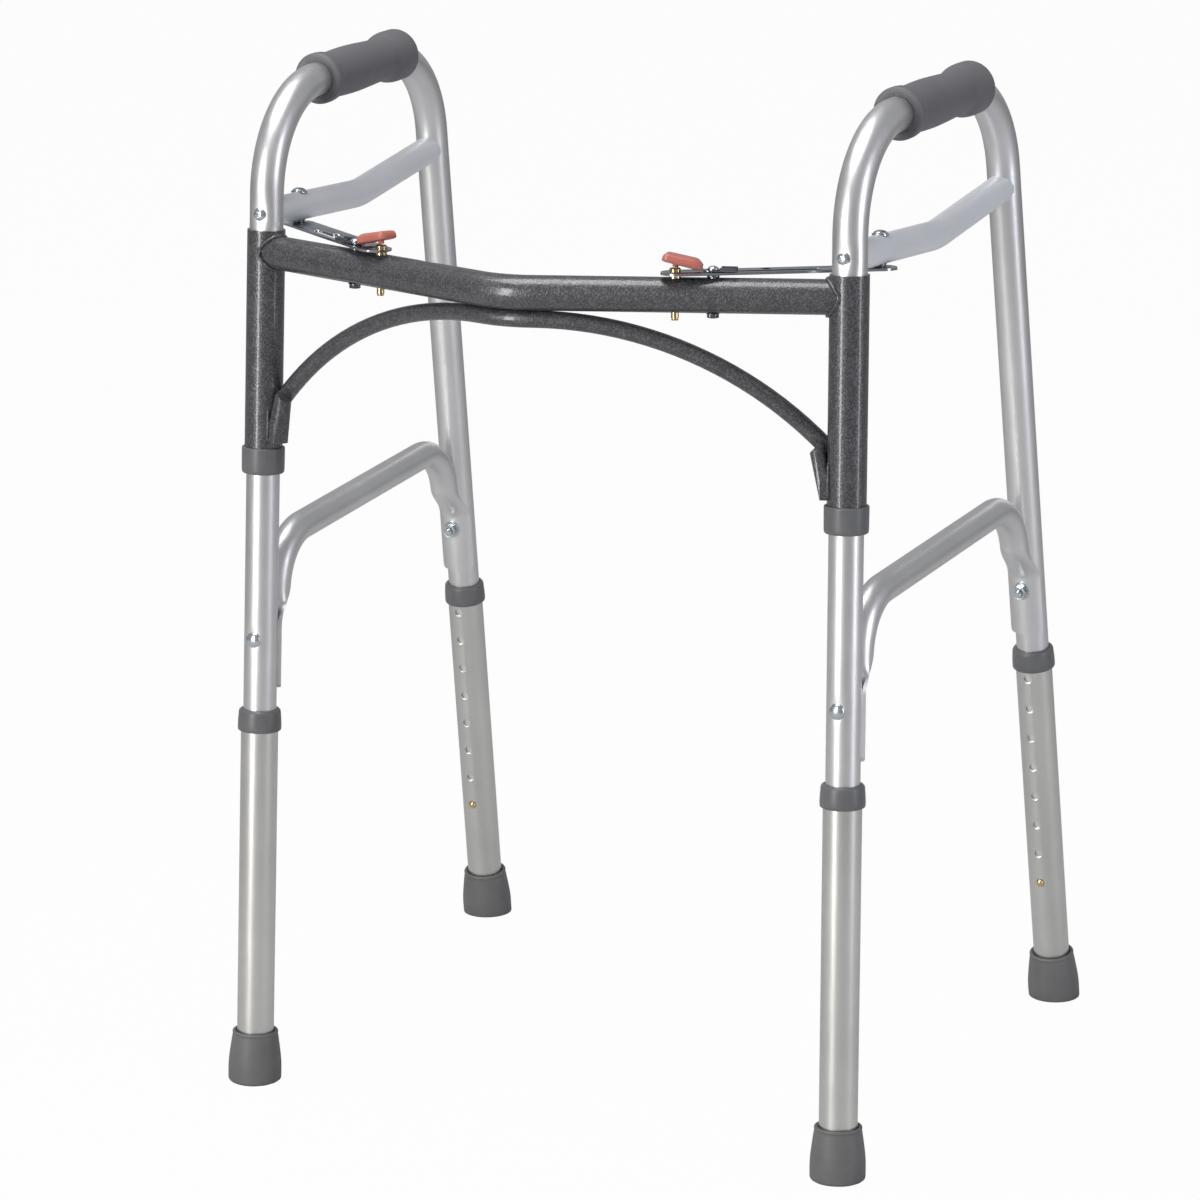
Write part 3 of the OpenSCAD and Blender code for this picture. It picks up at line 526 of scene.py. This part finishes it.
def lower_brace(side, m):
    """The lower brace: a bent round tube whose ends are pressed flat into straps that wrap the legs."""
    turn1 = 90 - BRACE_SLOPE
    turn2 = 180 - LEG_ANGLE - turn1
    t1 = BRACE_BEND_R * math.tan(math.radians(turn1 / 2))
    t2 = BRACE_BEND_R * math.tan(math.radians(turn2 / 2))
    s = math.tan(math.radians(BRACE_SLOPE))
    corner_v = BRACE_START_V + t1
    rear_u = ((REAR_U + (REAR_V - corner_v + LEG_TO_BRACE * s) * LEAN_SLOPE
               - LEG_TO_BRACE / math.cos(math.radians(LEG_ANGLE))) / (1 + s * LEAN_SLOPE))
    rear_v = corner_v + (rear_u - LEG_TO_BRACE) * s
    run = math.hypot(rear_u - LEG_TO_BRACE, rear_v - corner_v) - t1 - t2
    end_w = (rear_v - REAR_V + (REAR_U - rear_u) * LEAN_SLOPE) * math.cos(math.radians(LEG_ANGLE)) - t2
    bottom1, bottom2 = 312.5, 324.8
    path = plane_path([(BRACE_START_V - bottom1, BRACE_BEND_R, turn1), (run, BRACE_BEND_R, turn2),
                       (end_w - bottom2, 0, 0)], (LEG_TO_BRACE, bottom1), 0, 1.5)
    lengths = [0.0]
    for a, b in zip(path, path[1:]):
        lengths.append(lengths[-1] + (b[0] - a[0]).length)
    total = lengths[-1]
    segs = 64

    def section(i, a):
        near1, near2 = lengths[i], total - lengths[i]
        first = near1 < near2
        d = near1 if first else near2
        flat_to, round_at = (50.0, 76.0) if first else (47.0, end_w - bottom2 + 3)
        t = min(1.0, max(0.0, (d - flat_to) / (round_at - flat_to)))
        t = t * t * (3 - 2 * t)
        k = a / (2 * math.pi)
        half = 62 * (1 - 0.20 * max(0.0, 1 - d / 3.5) ** 2)
        if k < 0.5:
            theta, rho, phi = half - 4 * half * k, STRAP_OUT, 90 - 360 * k
        else:
            theta, rho, phi = -half + 4 * half * (k - 0.5), STRAP_IN, -90 - 360 * (k - 0.5)
        c = (rho * math.sin(math.radians(theta)), rho * math.cos(math.radians(theta)) - LEG_TO_BRACE)
        r = (BRACE_R * math.sin(math.radians(phi)), BRACE_R * math.cos(math.radians(phi)))
        return c[0] * (1 - t) + r[0] * t, c[1] * (1 - t) + r[1] * t

    bm = loft(bmesh.new(), along(path, BRACE_R, segs, section))
    to_object(bm, f"{side}_lower_brace_body", m, f"{side}_side", "satin_aluminium",
              replaces=[f"{side}_lower_brace"], sharp=50)


# ---------------------------------------------------------------- soft grips, collars and feet
GRIP_FRONT, GRIP_LEN = 78.0, 137.0


def hand_grip(side, m):
    """Moulded grip: a rounded front flange with a fine step, a swelling body, a waist and a bell."""
    n = GRIP_LEN
    key = [(13.5, 17.15), (22, 17.55), (36, 18.1), (52, 18.3), (68, 17.9), (82, 17.3), (92, 16.9), (99, 16.75),
           (104, 16.95), (108, 17.6), (111.5, 18.7), (115, 19.6), (119, 20.05), (124, 20.2), (128, 20.1)]
    body = []
    for (_, r0), (z1, r1), (z2, r2), (_, r3) in zip([key[0]] + key, key, key[1:], key[2:] + [key[-1]]):
        for i in range(4):
            t = i / 4
            r = 0.5 * (2 * r1 + (r2 - r0) * t + (2 * r0 - 5 * r1 + 4 * r2 - r3) * t * t
                       + (3 * r1 - r0 - 3 * r2 + r3) * t ** 3)
            body.append((r, z1 + (z2 - z1) * t))
    outline = ([(12.4, 1.2), (13.6, 0.4)] + arc((17.0, 2.6), 2.6, -90, 0, 6)
               + [(19.6, 7.2), (19.45, 7.5), (19.2, 7.6), (19.2, 8.1), (19.42, 8.3)]
               + arc((17.3, 9.9), 2.1, 0, 70, 5) + body + arc((16.2, n - 4), 3.95, 5, 88, 7)
               + [(13.6, n - 0.2), (12.4, n - 1.0)])
    start = Matrix.Translation((0, GRIP_FRONT, HANDLE_V + GRIP_FRONT * TOP_SLOPE))
    at = m @ start @ rot("X", -90 + math.degrees(LEVEL))
    to_object(lathe(outline, 80), f"{side}_grip", at, f"{side}_side", "grip_vinyl",
              replaces=[f"{side}_hand_grip"], sharp=50)


def sleeve_collar(side, m):
    """The plastic collar that carries the sleeve, and the rivet through the leg below it."""
    h = 20.2
    top = SLEEVE_BOTTOM - 0.3
    outline = ([(12.75, 0.6)] + arc((14.6, 1.5), 1.5, -90, -10, 4) + [(16.25, 3.2)] + [(16.35, h - 1.6)]
               + arc((15.2, h - 1.2), 1.15, 0, 90, 5) + [(13.3, h), (12.75, h - 0.5)])
    at = m @ raised(top - h)
    to_object(lathe(outline, 72), f"{side}_ferrule", at, f"{side}_side", "collar_plastic",
              replaces=[f"{side}_sleeve_collar"], sharp=60)
    rivet = dome(3.9, 2.1, 0, range(0, 91, 10)) + [(1.8, -0.3), (1.8, -3), (0, -3)]
    at = m @ raised(top - h - 5) @ facing("rear") @ raised(TUBE_R - 0.2)
    to_object(lathe(rivet, 28), f"{side}_ferrule_rivet", at, f"{side}_side", "black_plastic",
              replaces=[f"{side}_collar_rivet"])


def extension_collar(side, leg, m):
    """Collar at the top of an extension: a rolled lip at the tube, round shoulders and a chamfered foot."""
    h, lip = 17.2, 1.6
    foot = [(EXT_R + 0.02, 0.5), (EXT_R + 0.3, 0)] + arc((15.4, 1.3), 1.3, -90, -20, 4)
    wall = [(16.75, 3.2), (16.6, 8.0), (16.2, h - 4.0)]
    mouth = [(12.95, h - 0.1), (12.84, h - 0.6), (12.84, h - lip), (EXT_R + 0.02, h - lip)]
    outline = foot + wall + arc((13.1, h - 3.1), 3.05, 12, 84, 7) + mouth
    at = m @ LEG_AXES[leg] @ raised(LEG_TOP[leg] + lip - h)
    to_object(lathe(outline, 72), f"{side}_{leg}_collar", at, f"{side}_{leg}_extension", "collar_plastic",
              replaces=[f"{side}_{leg}_extension_collar"], sharp=60)


def rubber_foot(side, leg, m):
    """Rubber ferrule: a rolled rim, a bell that stands straight at the bottom, and a flat tread."""
    sink = 1.5 if leg == "front" else 3.0
    rim = 39.8
    groove = 1.2 - sink
    tread = [(0, -sink), (5, -sink), (5.5, groove), (7.5, groove), (8, -sink), (11, -sink), (11.5, groove),
             (13.5, groove), (14, -sink), (17.0, -sink)]
    wall = [(20.62, 4.5), (20.66, 8.0), (20.6, 12.0), (20.35, 16.0), (19.95, 20.0), (19.45, 24.0), (18.9, 28.0),
            (18.35, 32.0), (17.85, 35.2), (17.62, 36.4)]
    socket = [(14.7, rim - 2.6), (EXT_R + 0.03, rim - 3.2), (EXT_R + 0.03, 7), (0, 7)]
    outline = (tread + arc((17.6, 3 - sink), 3, -90, 0, 6) + wall
               + arc((16.35, rim - 1.55), 1.45, -35, 150, 9) + socket)
    bm = lathe(outline, 80)
    bm.transform(m @ LEG_AXES[leg])
    for v in bm.verts:
        v.co.z = max(v.co.z, 0.0)
    to_object(bm, f"{side}_{leg}_ferrule", Matrix.Identity(4), f"{side}_{leg}_extension", "foot_rubber",
              replaces=[f"{side}_{leg}_rubber_foot"], sharp=55)


# ---------------------------------------------------------------- screws, bolts and buttons
def cross_head(r, h, recess=0.42):
    """A pan head with a cross recess, on the plane z = 0."""
    bm = bmesh.new()
    segs, rings = 48, 12
    centre = bm.verts.new((0, 0, h - 0.9))
    rows = []
    for j in range(1, rings + 1):
        f = j / rings
        row = []
        for i in range(segs):
            a = 2 * math.pi * i / segs
            x, y = r * f * math.cos(a), r * f * math.sin(a)
            z = h * math.sqrt(max(0.0, 1 - (f * 0.93) ** 2.6))
            arm = min(abs(x), abs(y))
            reach = max(abs(x), abs(y))
            cross, end = 0.17 * r, recess * 1.35 * r
            if arm < cross and reach < end:
                z -= 0.95 * min(1.0, (cross - arm) / (0.06 * r)) * min(1.0, (end - reach) / (0.1 * r))
            row.append(bm.verts.new((x, y, z)))
        rows.append(row)
    for i in range(segs):
        bm.faces.new((centre, rows[0][i], rows[0][(i + 1) % segs]))
    for a, b in zip(rows, rows[1:]):
        for i in range(segs):
            j = (i + 1) % segs
            bm.faces.new((a[i], b[i], b[j], a[j]))
    low = [bm.verts.new((v.co.x * 0.96, v.co.y * 0.96, -0.4)) for v in rows[-1]]
    for i in range(segs):
        j = (i + 1) % segs
        bm.faces.new((rows[-1][i], low[i], low[j], rows[-1][j]))
    bm.faces.new(low)
    return bm


def washer(bm, r_out, r_in, z, t):
    return lathe([(r_in, z), (r_out - 0.2, z), (r_out, z + 0.2), (r_out, z + t - 0.25),
                  (r_out - 0.3, z + t), (r_in, z + t)], 48, bm=bm)


def merge(bm, part, matrix=None):
    """Adds the mesh of part to bm."""
    if matrix is not None:
        part.transform(matrix)
    tmp = bpy.data.meshes.new("tmp")
    part.to_mesh(tmp)
    part.free()
    bm.from_mesh(tmp)
    bpy.data.meshes.remove(tmp)
    return bm


def arm_screws(side, m):
    """The cross-headed screws through the legs into the upper arm, each with its washer."""
    bm = bmesh.new()
    for at, length in ((raised(ARM_V) @ facing("front"), 46),
                       (LEG_AXES["rear"] @ raised(ARM_REAR_W) @ facing("rear"), 40)):
        part = cross_head(4.4, 2.5)
        bmesh.ops.translate(part, verts=part.verts, vec=(0, 0, TUBE_R - 1.4))
        washer(part, 5.0, 2.6, TUBE_R - 1.9, 0.55)
        under, tip = TUBE_R - 1.6, TUBE_R - length
        lathe([(0, under), (2.5, under), (2.5, tip), (0, tip - 1.5)], 24, bm=part)
        merge(bm, part, at)
    to_object(bm, f"{side}_arm_screw_set", m, f"{side}_side", "zinc_steel", replaces=[f"{side}_arm_screws"])


def hexagon(across_flats, z0, z1, bore):
    """A nut with its corners turned off."""
    r = across_flats / math.sqrt(3)
    bm = bmesh.new()
    segs = 48
    rows = []
    for z, cut in ((z0, 0.985), (z0 + 0.5, 1.0), (z1 - 0.7, 1.0), (z1, 0.94)):
        row = []
        for i in range(segs):
            a = 2 * math.pi * i / segs
            flat = across_flats / 2 / math.cos((a % (math.pi / 3)) - math.pi / 6)
            rr = min(flat, r * cut * 0.985)
            row.append((rr * math.cos(a), rr * math.sin(a), z))
        rows.append(row)
    inner = [[(x, y, z) for x, y in circle(0, 0, bore, segs)] for z in (z1 - 0.3, z0)]
    return loft(bm, rows + inner, closed_path=True, cap=False)


def brace_bolts(side, m):
    """Round-headed bolts through the legs, with nuts and flanged washers on the straps."""
    heads, nuts = bmesh.new(), bmesh.new()
    under, tip = TUBE_R - 1.3, TUBE_R - 36.8
    ball = dome(6.1, 3.5, TUBE_R - 1.1, range(0, 81, 8), 0.9)
    ball += [(6.1, under + 0.4), (5.7, under), (2.95, under), (2.95, tip + 0.8), (2.3, tip), (0, tip)]
    for leg, at_v, nut in (("front", BRACE_BOLT_V, "rear"), ("rear", REAR_BOLT_W, "front")):
        base = LEG_AXES[leg] @ raised(at_v)
        merge(heads, lathe(ball, 40), base @ facing(leg))
        part = washer(bmesh.new(), 7.0, 3.05, STRAP_OUT - 0.15, 1.0)
        low, high = STRAP_OUT + 0.9, STRAP_OUT + 1.7
        lathe([(3.05, low), (6.3, low), (6.0, high), (3.05, high)], 48, bm=part)
        merge(part, hexagon(9.6, STRAP_OUT + 1.5, STRAP_OUT + 6.0, 3.05))
        merge(nuts, part, base @ facing(nut))
    to_object(heads, f"{side}_brace_bolt_set", m, f"{side}_side", "zinc_steel",
              replaces=[f"{side}_brace_bolts"])
    to_object(nuts, f"{side}_brace_nut_set", m, f"{side}_side", "zinc_steel", replaces=[f"{side}_brace_nuts"])


def snap_button(side, leg, m):
    """The domed brass button that locks an extension, with its flange inside the side tube."""
    out = EXT_R + 0.4
    outline = ([(0, out + 1.9)] + dome(3.08, 1.9, out, range(12, 91, 13))
               + [(3.08, 10.3), (3.9, 10.3), (3.9, 9.5), (0, 9.5)])
    at = m @ LEG_AXES[leg] @ raised(PIN_AT[leg]) @ facing("rear" if leg == "front" else "front")
    to_object(lathe(outline, 36), f"{side}_{leg}_button", at, f"{side}_{leg}_button", "brass",
              replaces=[f"{side}_{leg}_snap_button"])


# ---------------------------------------------------------------- latch
def link_rivet(side, m):
    """The rivet on the arm: a washer and a domed head above, and a barrel between the arm and the link, its zinc
    darkened as painted shade.
    """
    top = ARM_V + ARM_R
    head = washer(bmesh.new(), 6.3, 2.55, top - 0.6, 1.2)
    tip = PLATE_TOP + 3.0
    cap = [(0, top + 3.2)] + dome(5.3, 2.6, top + 0.6, range(14, 85, 10))
    lathe(cap + [(5.3, top + 0.7), (2.5, top + 0.6), (2.5, tip), (0, tip)], 40, bm=head)
    at = m @ Matrix.Translation((0, RIVET_U, 0))
    to_object(head, f"{side}_link_rivet_head", at, f"{side}_side", "zinc_steel",
              replaces=[f"{side}_link_rivet"])
    low = PLATE_TOP + 0.3
    high = ARM_V - ARM_R + 0.2
    barrel = [(0, low), (4.2, low), (4.4, low + 0.25), (4.4, low + 1.1), (3.3, low + 1.3), (3.3, high),
              (4.9, high + 0.1), (4.9, high + 1.0), (0, high + 1.0)]
    # The barrel takes the darker zinc copy: painted shade between the arm and the link.
    to_object(lathe(barrel, 36), f"{side}_link_rivet_barrel", at, f"{side}_side", "zinc_steel", "zinc_painted_shade")


def rounded_bar(x0, x1, r, y=0.0, segs=10):
    """Closed outline of a plate with round ends of radius r."""
    return [(x + r * math.cos(math.radians(a)), y + r * math.sin(math.radians(a)))
            for x, start in ((x1, -90), (x0, 90)) for a in np.linspace(start, start + 180, segs * 2 + 1)]


def plate_with_holes(outline, holes, z0, z1):
    """A plate with holes, its faces filled between the outlines, edges softened."""
    bm = bmesh.new()
    loops = []
    for z in (z0, z1):
        edges = []
        for ring in [outline] + holes:
            vs = [bm.verts.new((x, y, z)) for x, y in ring]
            es = [bm.edges.new((vs[i], vs[(i + 1) % len(vs)])) for i in range(len(vs))]
            edges += es
            loops.append((z, vs))
        bmesh.ops.triangle_fill(bm, use_beauty=True, use_dissolve=True, edges=edges)
    half = len(loops) // 2
    for (_, low), (_, top) in zip(loops[:half], loops[half:]):
        for i in range(len(low)):
            j = (i + 1) % len(low)
            bm.faces.new((low[i], low[j], top[j], top[i]))
    sides = [bm.edges.get((vs[i], vs[(i + 1) % len(vs)])) for _, vs in loops for i in range(len(vs))]
    rim = [e for e in sides if e]
    bmesh.ops.bevel(bm, geom=rim, offset=0.3, segments=2, profile=0.5, affect="EDGES")
    return bm


def circle(x, y, r, n=28):
    """Closed outline of a round hole."""
    return [(x + r * math.cos(2 * math.pi * i / n), y + r * math.sin(2 * math.pi * i / n)) for i in range(n)]


def pin_in_plate(fold):
    """Where the latch bolt and the lock pin stand in the link plate at a fold angle."""
    rivet = RIVET_U * Vector((math.sin(math.radians(fold)), math.cos(math.radians(fold))))
    link = Vector((LATCH.x, LATCH.y)) - rivet
    reach = math.sqrt(link.length_squared - SLOT_OFFSET ** 2)
    turn = math.radians(BAR_SIDE_TURN) - math.atan2(link.y, link.x) - math.asin(SLOT_OFFSET / link.length)
    return reach, (reach + PIN_LATCH_X * math.cos(turn), PIN_LATCH_X * math.sin(turn) - SLOT_OFFSET)


def slot_outline(near, far, hole, grow=0.0):
    """The slot, with the folded side's pin hole let into its edge where the two meet."""
    half, r, edge = 3.4 + grow, 4.3 + grow, -SLOT_OFFSET + 3.4 + grow
    ring = rounded_bar(near, far, half, -SLOT_OFFSET)
    if hole[1] - r >= edge:
        return ring
    split = len(ring) // 2
    start = math.degrees(math.asin((edge - hole[1]) / r))
    bay = [(hole[0] + r * math.cos(math.radians(a)), hole[1] + r * math.sin(math.radians(a)))
           for a in np.linspace(start, 180 - start, 22)]
    return ring[:split] + bay + ring[split:]


def link_plate(side, m):
    """The slotted link: a flat steel bar with a raised rim round its slot."""
    half, tip, near = 12.5, 161.0, 48.0
    far, pin = pin_in_plate(0)
    parked = pin_in_plate(FOLD_LIMIT[side])[1]
    holes = [slot_outline(near, far, parked), circle(*pin, 4.3)]
    if parked[1] - 4.3 >= 3.4 - SLOT_OFFSET:
        holes.append(circle(*parked, 4.3))
    bm = plate_with_holes(rounded_bar(0, tip - half, half), holes, PLATE_V, PLATE_TOP)
    at = m @ LINK_AXES
    to_object(bm, f"{side}_link_bar", at, f"{side}_link", "zinc_steel", "link_zinc",
              replaces=[f"{side}_link_plate"])
    points = [Vector((x, y, PLATE_TOP)) for x, y in slot_outline(near, far, parked, 0.9)]
    rings = []
    for i, p in enumerate(points):
        out = (points[(i + 1) % len(points)] - points[i - 1]).normalized().cross(Vector((0, 0, 1)))
        rings.append([p + out * 0.55 * math.cos(a) + Vector((0, 0, 0.22 * math.sin(a)))
                      for a in np.linspace(0, 2 * math.pi, 9)[:-1]])
    rim = loft(bmesh.new(), rings, closed_path=True, cap=False)
    to_object(rim, f"{side}_link_slot_rim", at, f"{side}_link", "zinc_steel")


def guide_bush(side, m):
    """The bush round the latch bolt: a shoulder under the link and a neck in its slot."""
    low, shoulder, top = LATCH.z + BAR_R + 0.3, PLATE_V - 0.2, PLATE_TOP + 0.25
    outline = [(2.56, low), (4.4, low), (4.6, low + 0.3), (4.6, shoulder - 0.3), (4.4, shoulder),
               (3.28, shoulder), (3.28, top), (2.56, top)]
    # The brass bush is drawn in the darker zinc copy: painted shade between the link and the crossbar.
    to_object(lathe(outline, 36), f"{side}_guide", m @ LATCH_AXES, f"{side}_guide", "brass", "zinc_painted_shade",
              replaces=[f"{side}_guide_bush"])


def latch_leaf(side, m):
    """The spring leaf under the latch bolt, its sides folded up into a channel at the tail."""
    z = PLATE_TOP + 0.5
    bm = slab(rounded_bar(-2.0, 2.0, 5.6), z, z + 0.9, 0.15)
    for y in (-1, 1):
        wall = [(-17.0, y * 4.2), (-5.4, y * 4.2), (-5.4, y * 5.0), (-17.0, y * 5.0)]
        merge(bm, slab(wall if y > 0 else wall[::-1], z, z + 3.1, 0.22))
    merge(bm, slab([(-17.0, -4.9), (-4.5, -4.9), (-4.5, 4.9), (-17.0, 4.9)], z, z + 0.8, 0.15))
    merge(bm, lathe([(2.6, z + 0.8), (5.0, z + 0.8), (5.0, z + 1.5), (2.6, z + 1.5)], 36))
    # The leaf takes the darker zinc copy: painted shade on the leaf tucked under the latch bolt's head.
    to_object(bm, f"{side}_latch_leaf", m @ LATCH_AXES, "front_frame", "zinc_steel", "zinc_painted_shade",
              replaces=[f"{side}_latch_spring_leaf"])


def latch_bolt(side, m):
    """The bolt through the crossbar under the leaf, its thread end and its nut."""
    top = PLATE_TOP + 1.9
    head = [(0, top + 2.5)] + dome(4.0, 2.5, top, range(15, 91, 15))
    bottom = LATCH.z - BAR_R - 3.6
    head += [(4.0, top - 0.1), (2.48, top - 0.1), (2.48, bottom + 0.5), (2.0, bottom), (0, bottom)]
    to_object(lathe(head, 36), f"{side}_latch_bolt", m @ LATCH_AXES, "front_frame", "zinc_steel")
    # The nut and washer under the crossbar take the darker zinc copy: painted shade.
    nut = hexagon(7.6, LATCH.z - BAR_R - 3.2, LATCH.z - BAR_R - 0.2, 2.5)
    washer(nut, 4.9, 2.5, LATCH.z - BAR_R - 0.35, 0.7)
    to_object(nut, f"{side}_latch_nut", m @ LATCH_AXES, "front_frame", "zinc_steel", "zinc_painted_shade")


def release_paddle(side, m):
    """The thumb paddle: a rounded slab, thick at the outer end, with a stepped underside."""
    length, wide, tilt = 28.5, 16.8, 13.4
    bm = bmesh.new()
    stations = 15
    rings = []
    for i in range(stations):
        f = i / (stations - 1)
        x = length * f
        ease = 1.0
        if f < 0.16:
            ease = math.sin(math.pi * f / 0.16 / 2)
        elif f > 0.86:
            ease = math.sqrt(max(0.0, 1 - ((f - 0.86) / 0.14) ** 2))
        half = wide / 2 * (0.80 + 0.20 * ease)
        under = -0.4 + 0.5 * (1 - ease)
        over = (5.7 + 1.5 * min(1.0, f / 0.2) - 0.9 * f) * (0.62 + 0.38 * ease)
        ring = []
        for k in range(24):
            a = 2 * math.pi * k / 24
            cx, sx = math.cos(a), math.sin(a)
            px = half * math.copysign(abs(cx) ** 0.42, cx)
            pz = (over + under) / 2 + (over - under) / 2 * math.copysign(abs(sx) ** 0.55, sx)
            ring.append(Vector((1 + x, px, pz)))
        rings.append(ring)
    loft(bm, rings)
    at = m @ LATCH_AXES @ Matrix.Translation((7.5, 0, PLATE_TOP + 0.9)) @ rot("Y", -tilt)
    boss = [(0, -2.5), (2.1, -2.5), (2.2, -2.3), (2.2, 0.4), (0, 0.4)]
    merge(bm, lathe(boss, 24, Matrix.Translation((19.6, 0, 0))))
    to_object(bm, f"{side}_paddle_pad", at, f"{side}_paddle", "coral_plastic",
              replaces=[f"{side}_release_paddle"], sharp=60)
    tongue = slab([(-5.5, -2.6), (4.5, -3.4), (4.5, 3.4), (-5.5, 2.6)], 0.35, 1.15, 0.15)
    to_object(tongue, f"{side}_paddle_tongue", at, f"{side}_paddle", "zinc_steel")


def lock_pin(side, m):
    """Brass lock pin with two turned grooves, and its coil spring inside the crossbar."""
    bar_v = LATCH.z + BAR_SIDE.z * PIN_LATCH_X
    top, shoulder, bottom = PLATE_TOP + 2.35, bar_v + 6, bar_v - BAR_R - 5.4
    rim = bar_v + BAR_R
    outline = [(0, top), (3.4, top), (4.2, top - 0.8), (4.2, PLATE_V - 0.4), (3.4, PLATE_V - 0.7),
               (3.4, PLATE_V - 1.3), (4.2, PLATE_V - 1.6), (4.2, rim - 0.3), (4.2, shoulder), (2.8, shoulder),
               (2.8, bottom + 1.6), (2.3, bottom + 1.3), (2.3, bottom + 0.9), (2.8, bottom + 0.6),
               (2.4, bottom), (0, bottom)]
    at = m @ LATCH_AXES @ Matrix.Translation((PIN_LATCH_X, 0, 0))
    pin = to_object(lathe(outline, 36), f"{side}_pin", at, f"{side}_pin", "brass", replaces=[f"{side}_lock_pin"])
    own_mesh(pin)
    low, high, turns, r, wire = bar_v - 9.6, shoulder - 0.3, 6, 3.62, 0.38
    rise = (high - low - 1.0) / (2 * math.pi * turns)
    pts = [Vector((r * math.cos(a), r * math.sin(a), low + 0.5 + rise * a))
           for a in np.linspace(0, 2 * math.pi * turns, 24 * turns + 1)]
    stations = []
    for i, p in enumerate(pts):
        t = (pts[min(i + 1, len(pts) - 1)] - pts[max(i - 1, 0)]).normalized()
        stations.append((p, t, Vector((p.x, p.y, 0)).normalized()))
    coil = loft(bmesh.new(), along(stations, wire, 8))
    spring = to_object(coil, f"{side}_coil", at, "front_frame", "zinc_steel", replaces=[f"{side}_pin_spring"])
    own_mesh(spring)


# ---------------------------------------------------------------- welds
def bead(points, r, seed, lumps=1.2):
    """A rippled weld bead along a line of points."""
    stations = []
    for i, p in enumerate(points):
        t = (points[min(i + 1, len(points) - 1)] - points[max(i - 1, 0)]).normalized()
        across = t.cross(Vector((0.3, 0.2, 0.93))).normalized()
        stations.append((p, t, across))
    n = len(points)

    def section(i, a):
        ends = math.sqrt(max(0.02, 1 - (2 * i / (n - 1) - 1) ** 6))
        ripple = 1 + 0.10 * math.sin(i * 2.1) + 0.16 * noise.noise(Vector((i * 0.35, 2 * math.cos(a), seed)))
        return r * lumps * ends * ripple * math.cos(a), r * ends * ripple * math.sin(a)

    return loft(bmesh.new(), along(stations, r, 12, section))


def welds():
    """Beads where the crossbar meets each sleeve, and at both edges of the arch's tabs."""
    bm = bmesh.new()
    for k, side in enumerate(SIDES):
        m = side_matrix(side)
        base = raised(BAR_Z / V_DIR.z) @ rot("Z", BAR_SIDE_TURN)
        pts = []
        for a in np.linspace(0, 2 * math.pi, 61)[:-1]:
            y, z = (BAR_R + 0.6) * math.cos(a), (BAR_R + 0.6) * math.sin(a)
            pts.append(base @ Vector((math.sqrt((EXT_R + 0.5) ** 2 - y * y), y, z)))
        merge(bm, bead(pts + [pts[0]], 1.4, 3.1 + k, 1.5), m)
        for y in (-7.6, 7.6):
            x = math.sqrt((EXT_R + 0.4) ** 2 - y * y)
            pts = [rot("Z", BAR_SIDE_TURN) @ Vector((x, y, v)) for v in np.linspace(506, 533, 16)]
            merge(bm, bead(pts, 1.3, 7.7 + k + y), m)
    to_object(bm, "weld_fillets", Matrix.Identity(4), "front_frame", "hammertone_steel",
              replaces=["weld_beads"], sharp=70)


def detail():
    for side in SIDES:
        m = side_matrix(side)
        side_tube(side, m)
        lower_brace(side, m)
        hand_grip(side, m)
        sleeve_collar(side, m)
        arm_screws(side, m)
        brace_bolts(side, m)
        link_rivet(side, m)
        link_plate(side, m)
        guide_bush(side, m)
        latch_leaf(side, m)
        latch_bolt(side, m)
        release_paddle(side, m)
        lock_pin(side, m)
        for leg in LEGS:
            extension_collar(side, leg, m)
            rubber_foot(side, leg, m)
            snap_button(side, leg, m)
    welds()
    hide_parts("latch_bolts")
    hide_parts("latch_nuts")


camera()
floor()
lighting()
dress_cad()
detail()
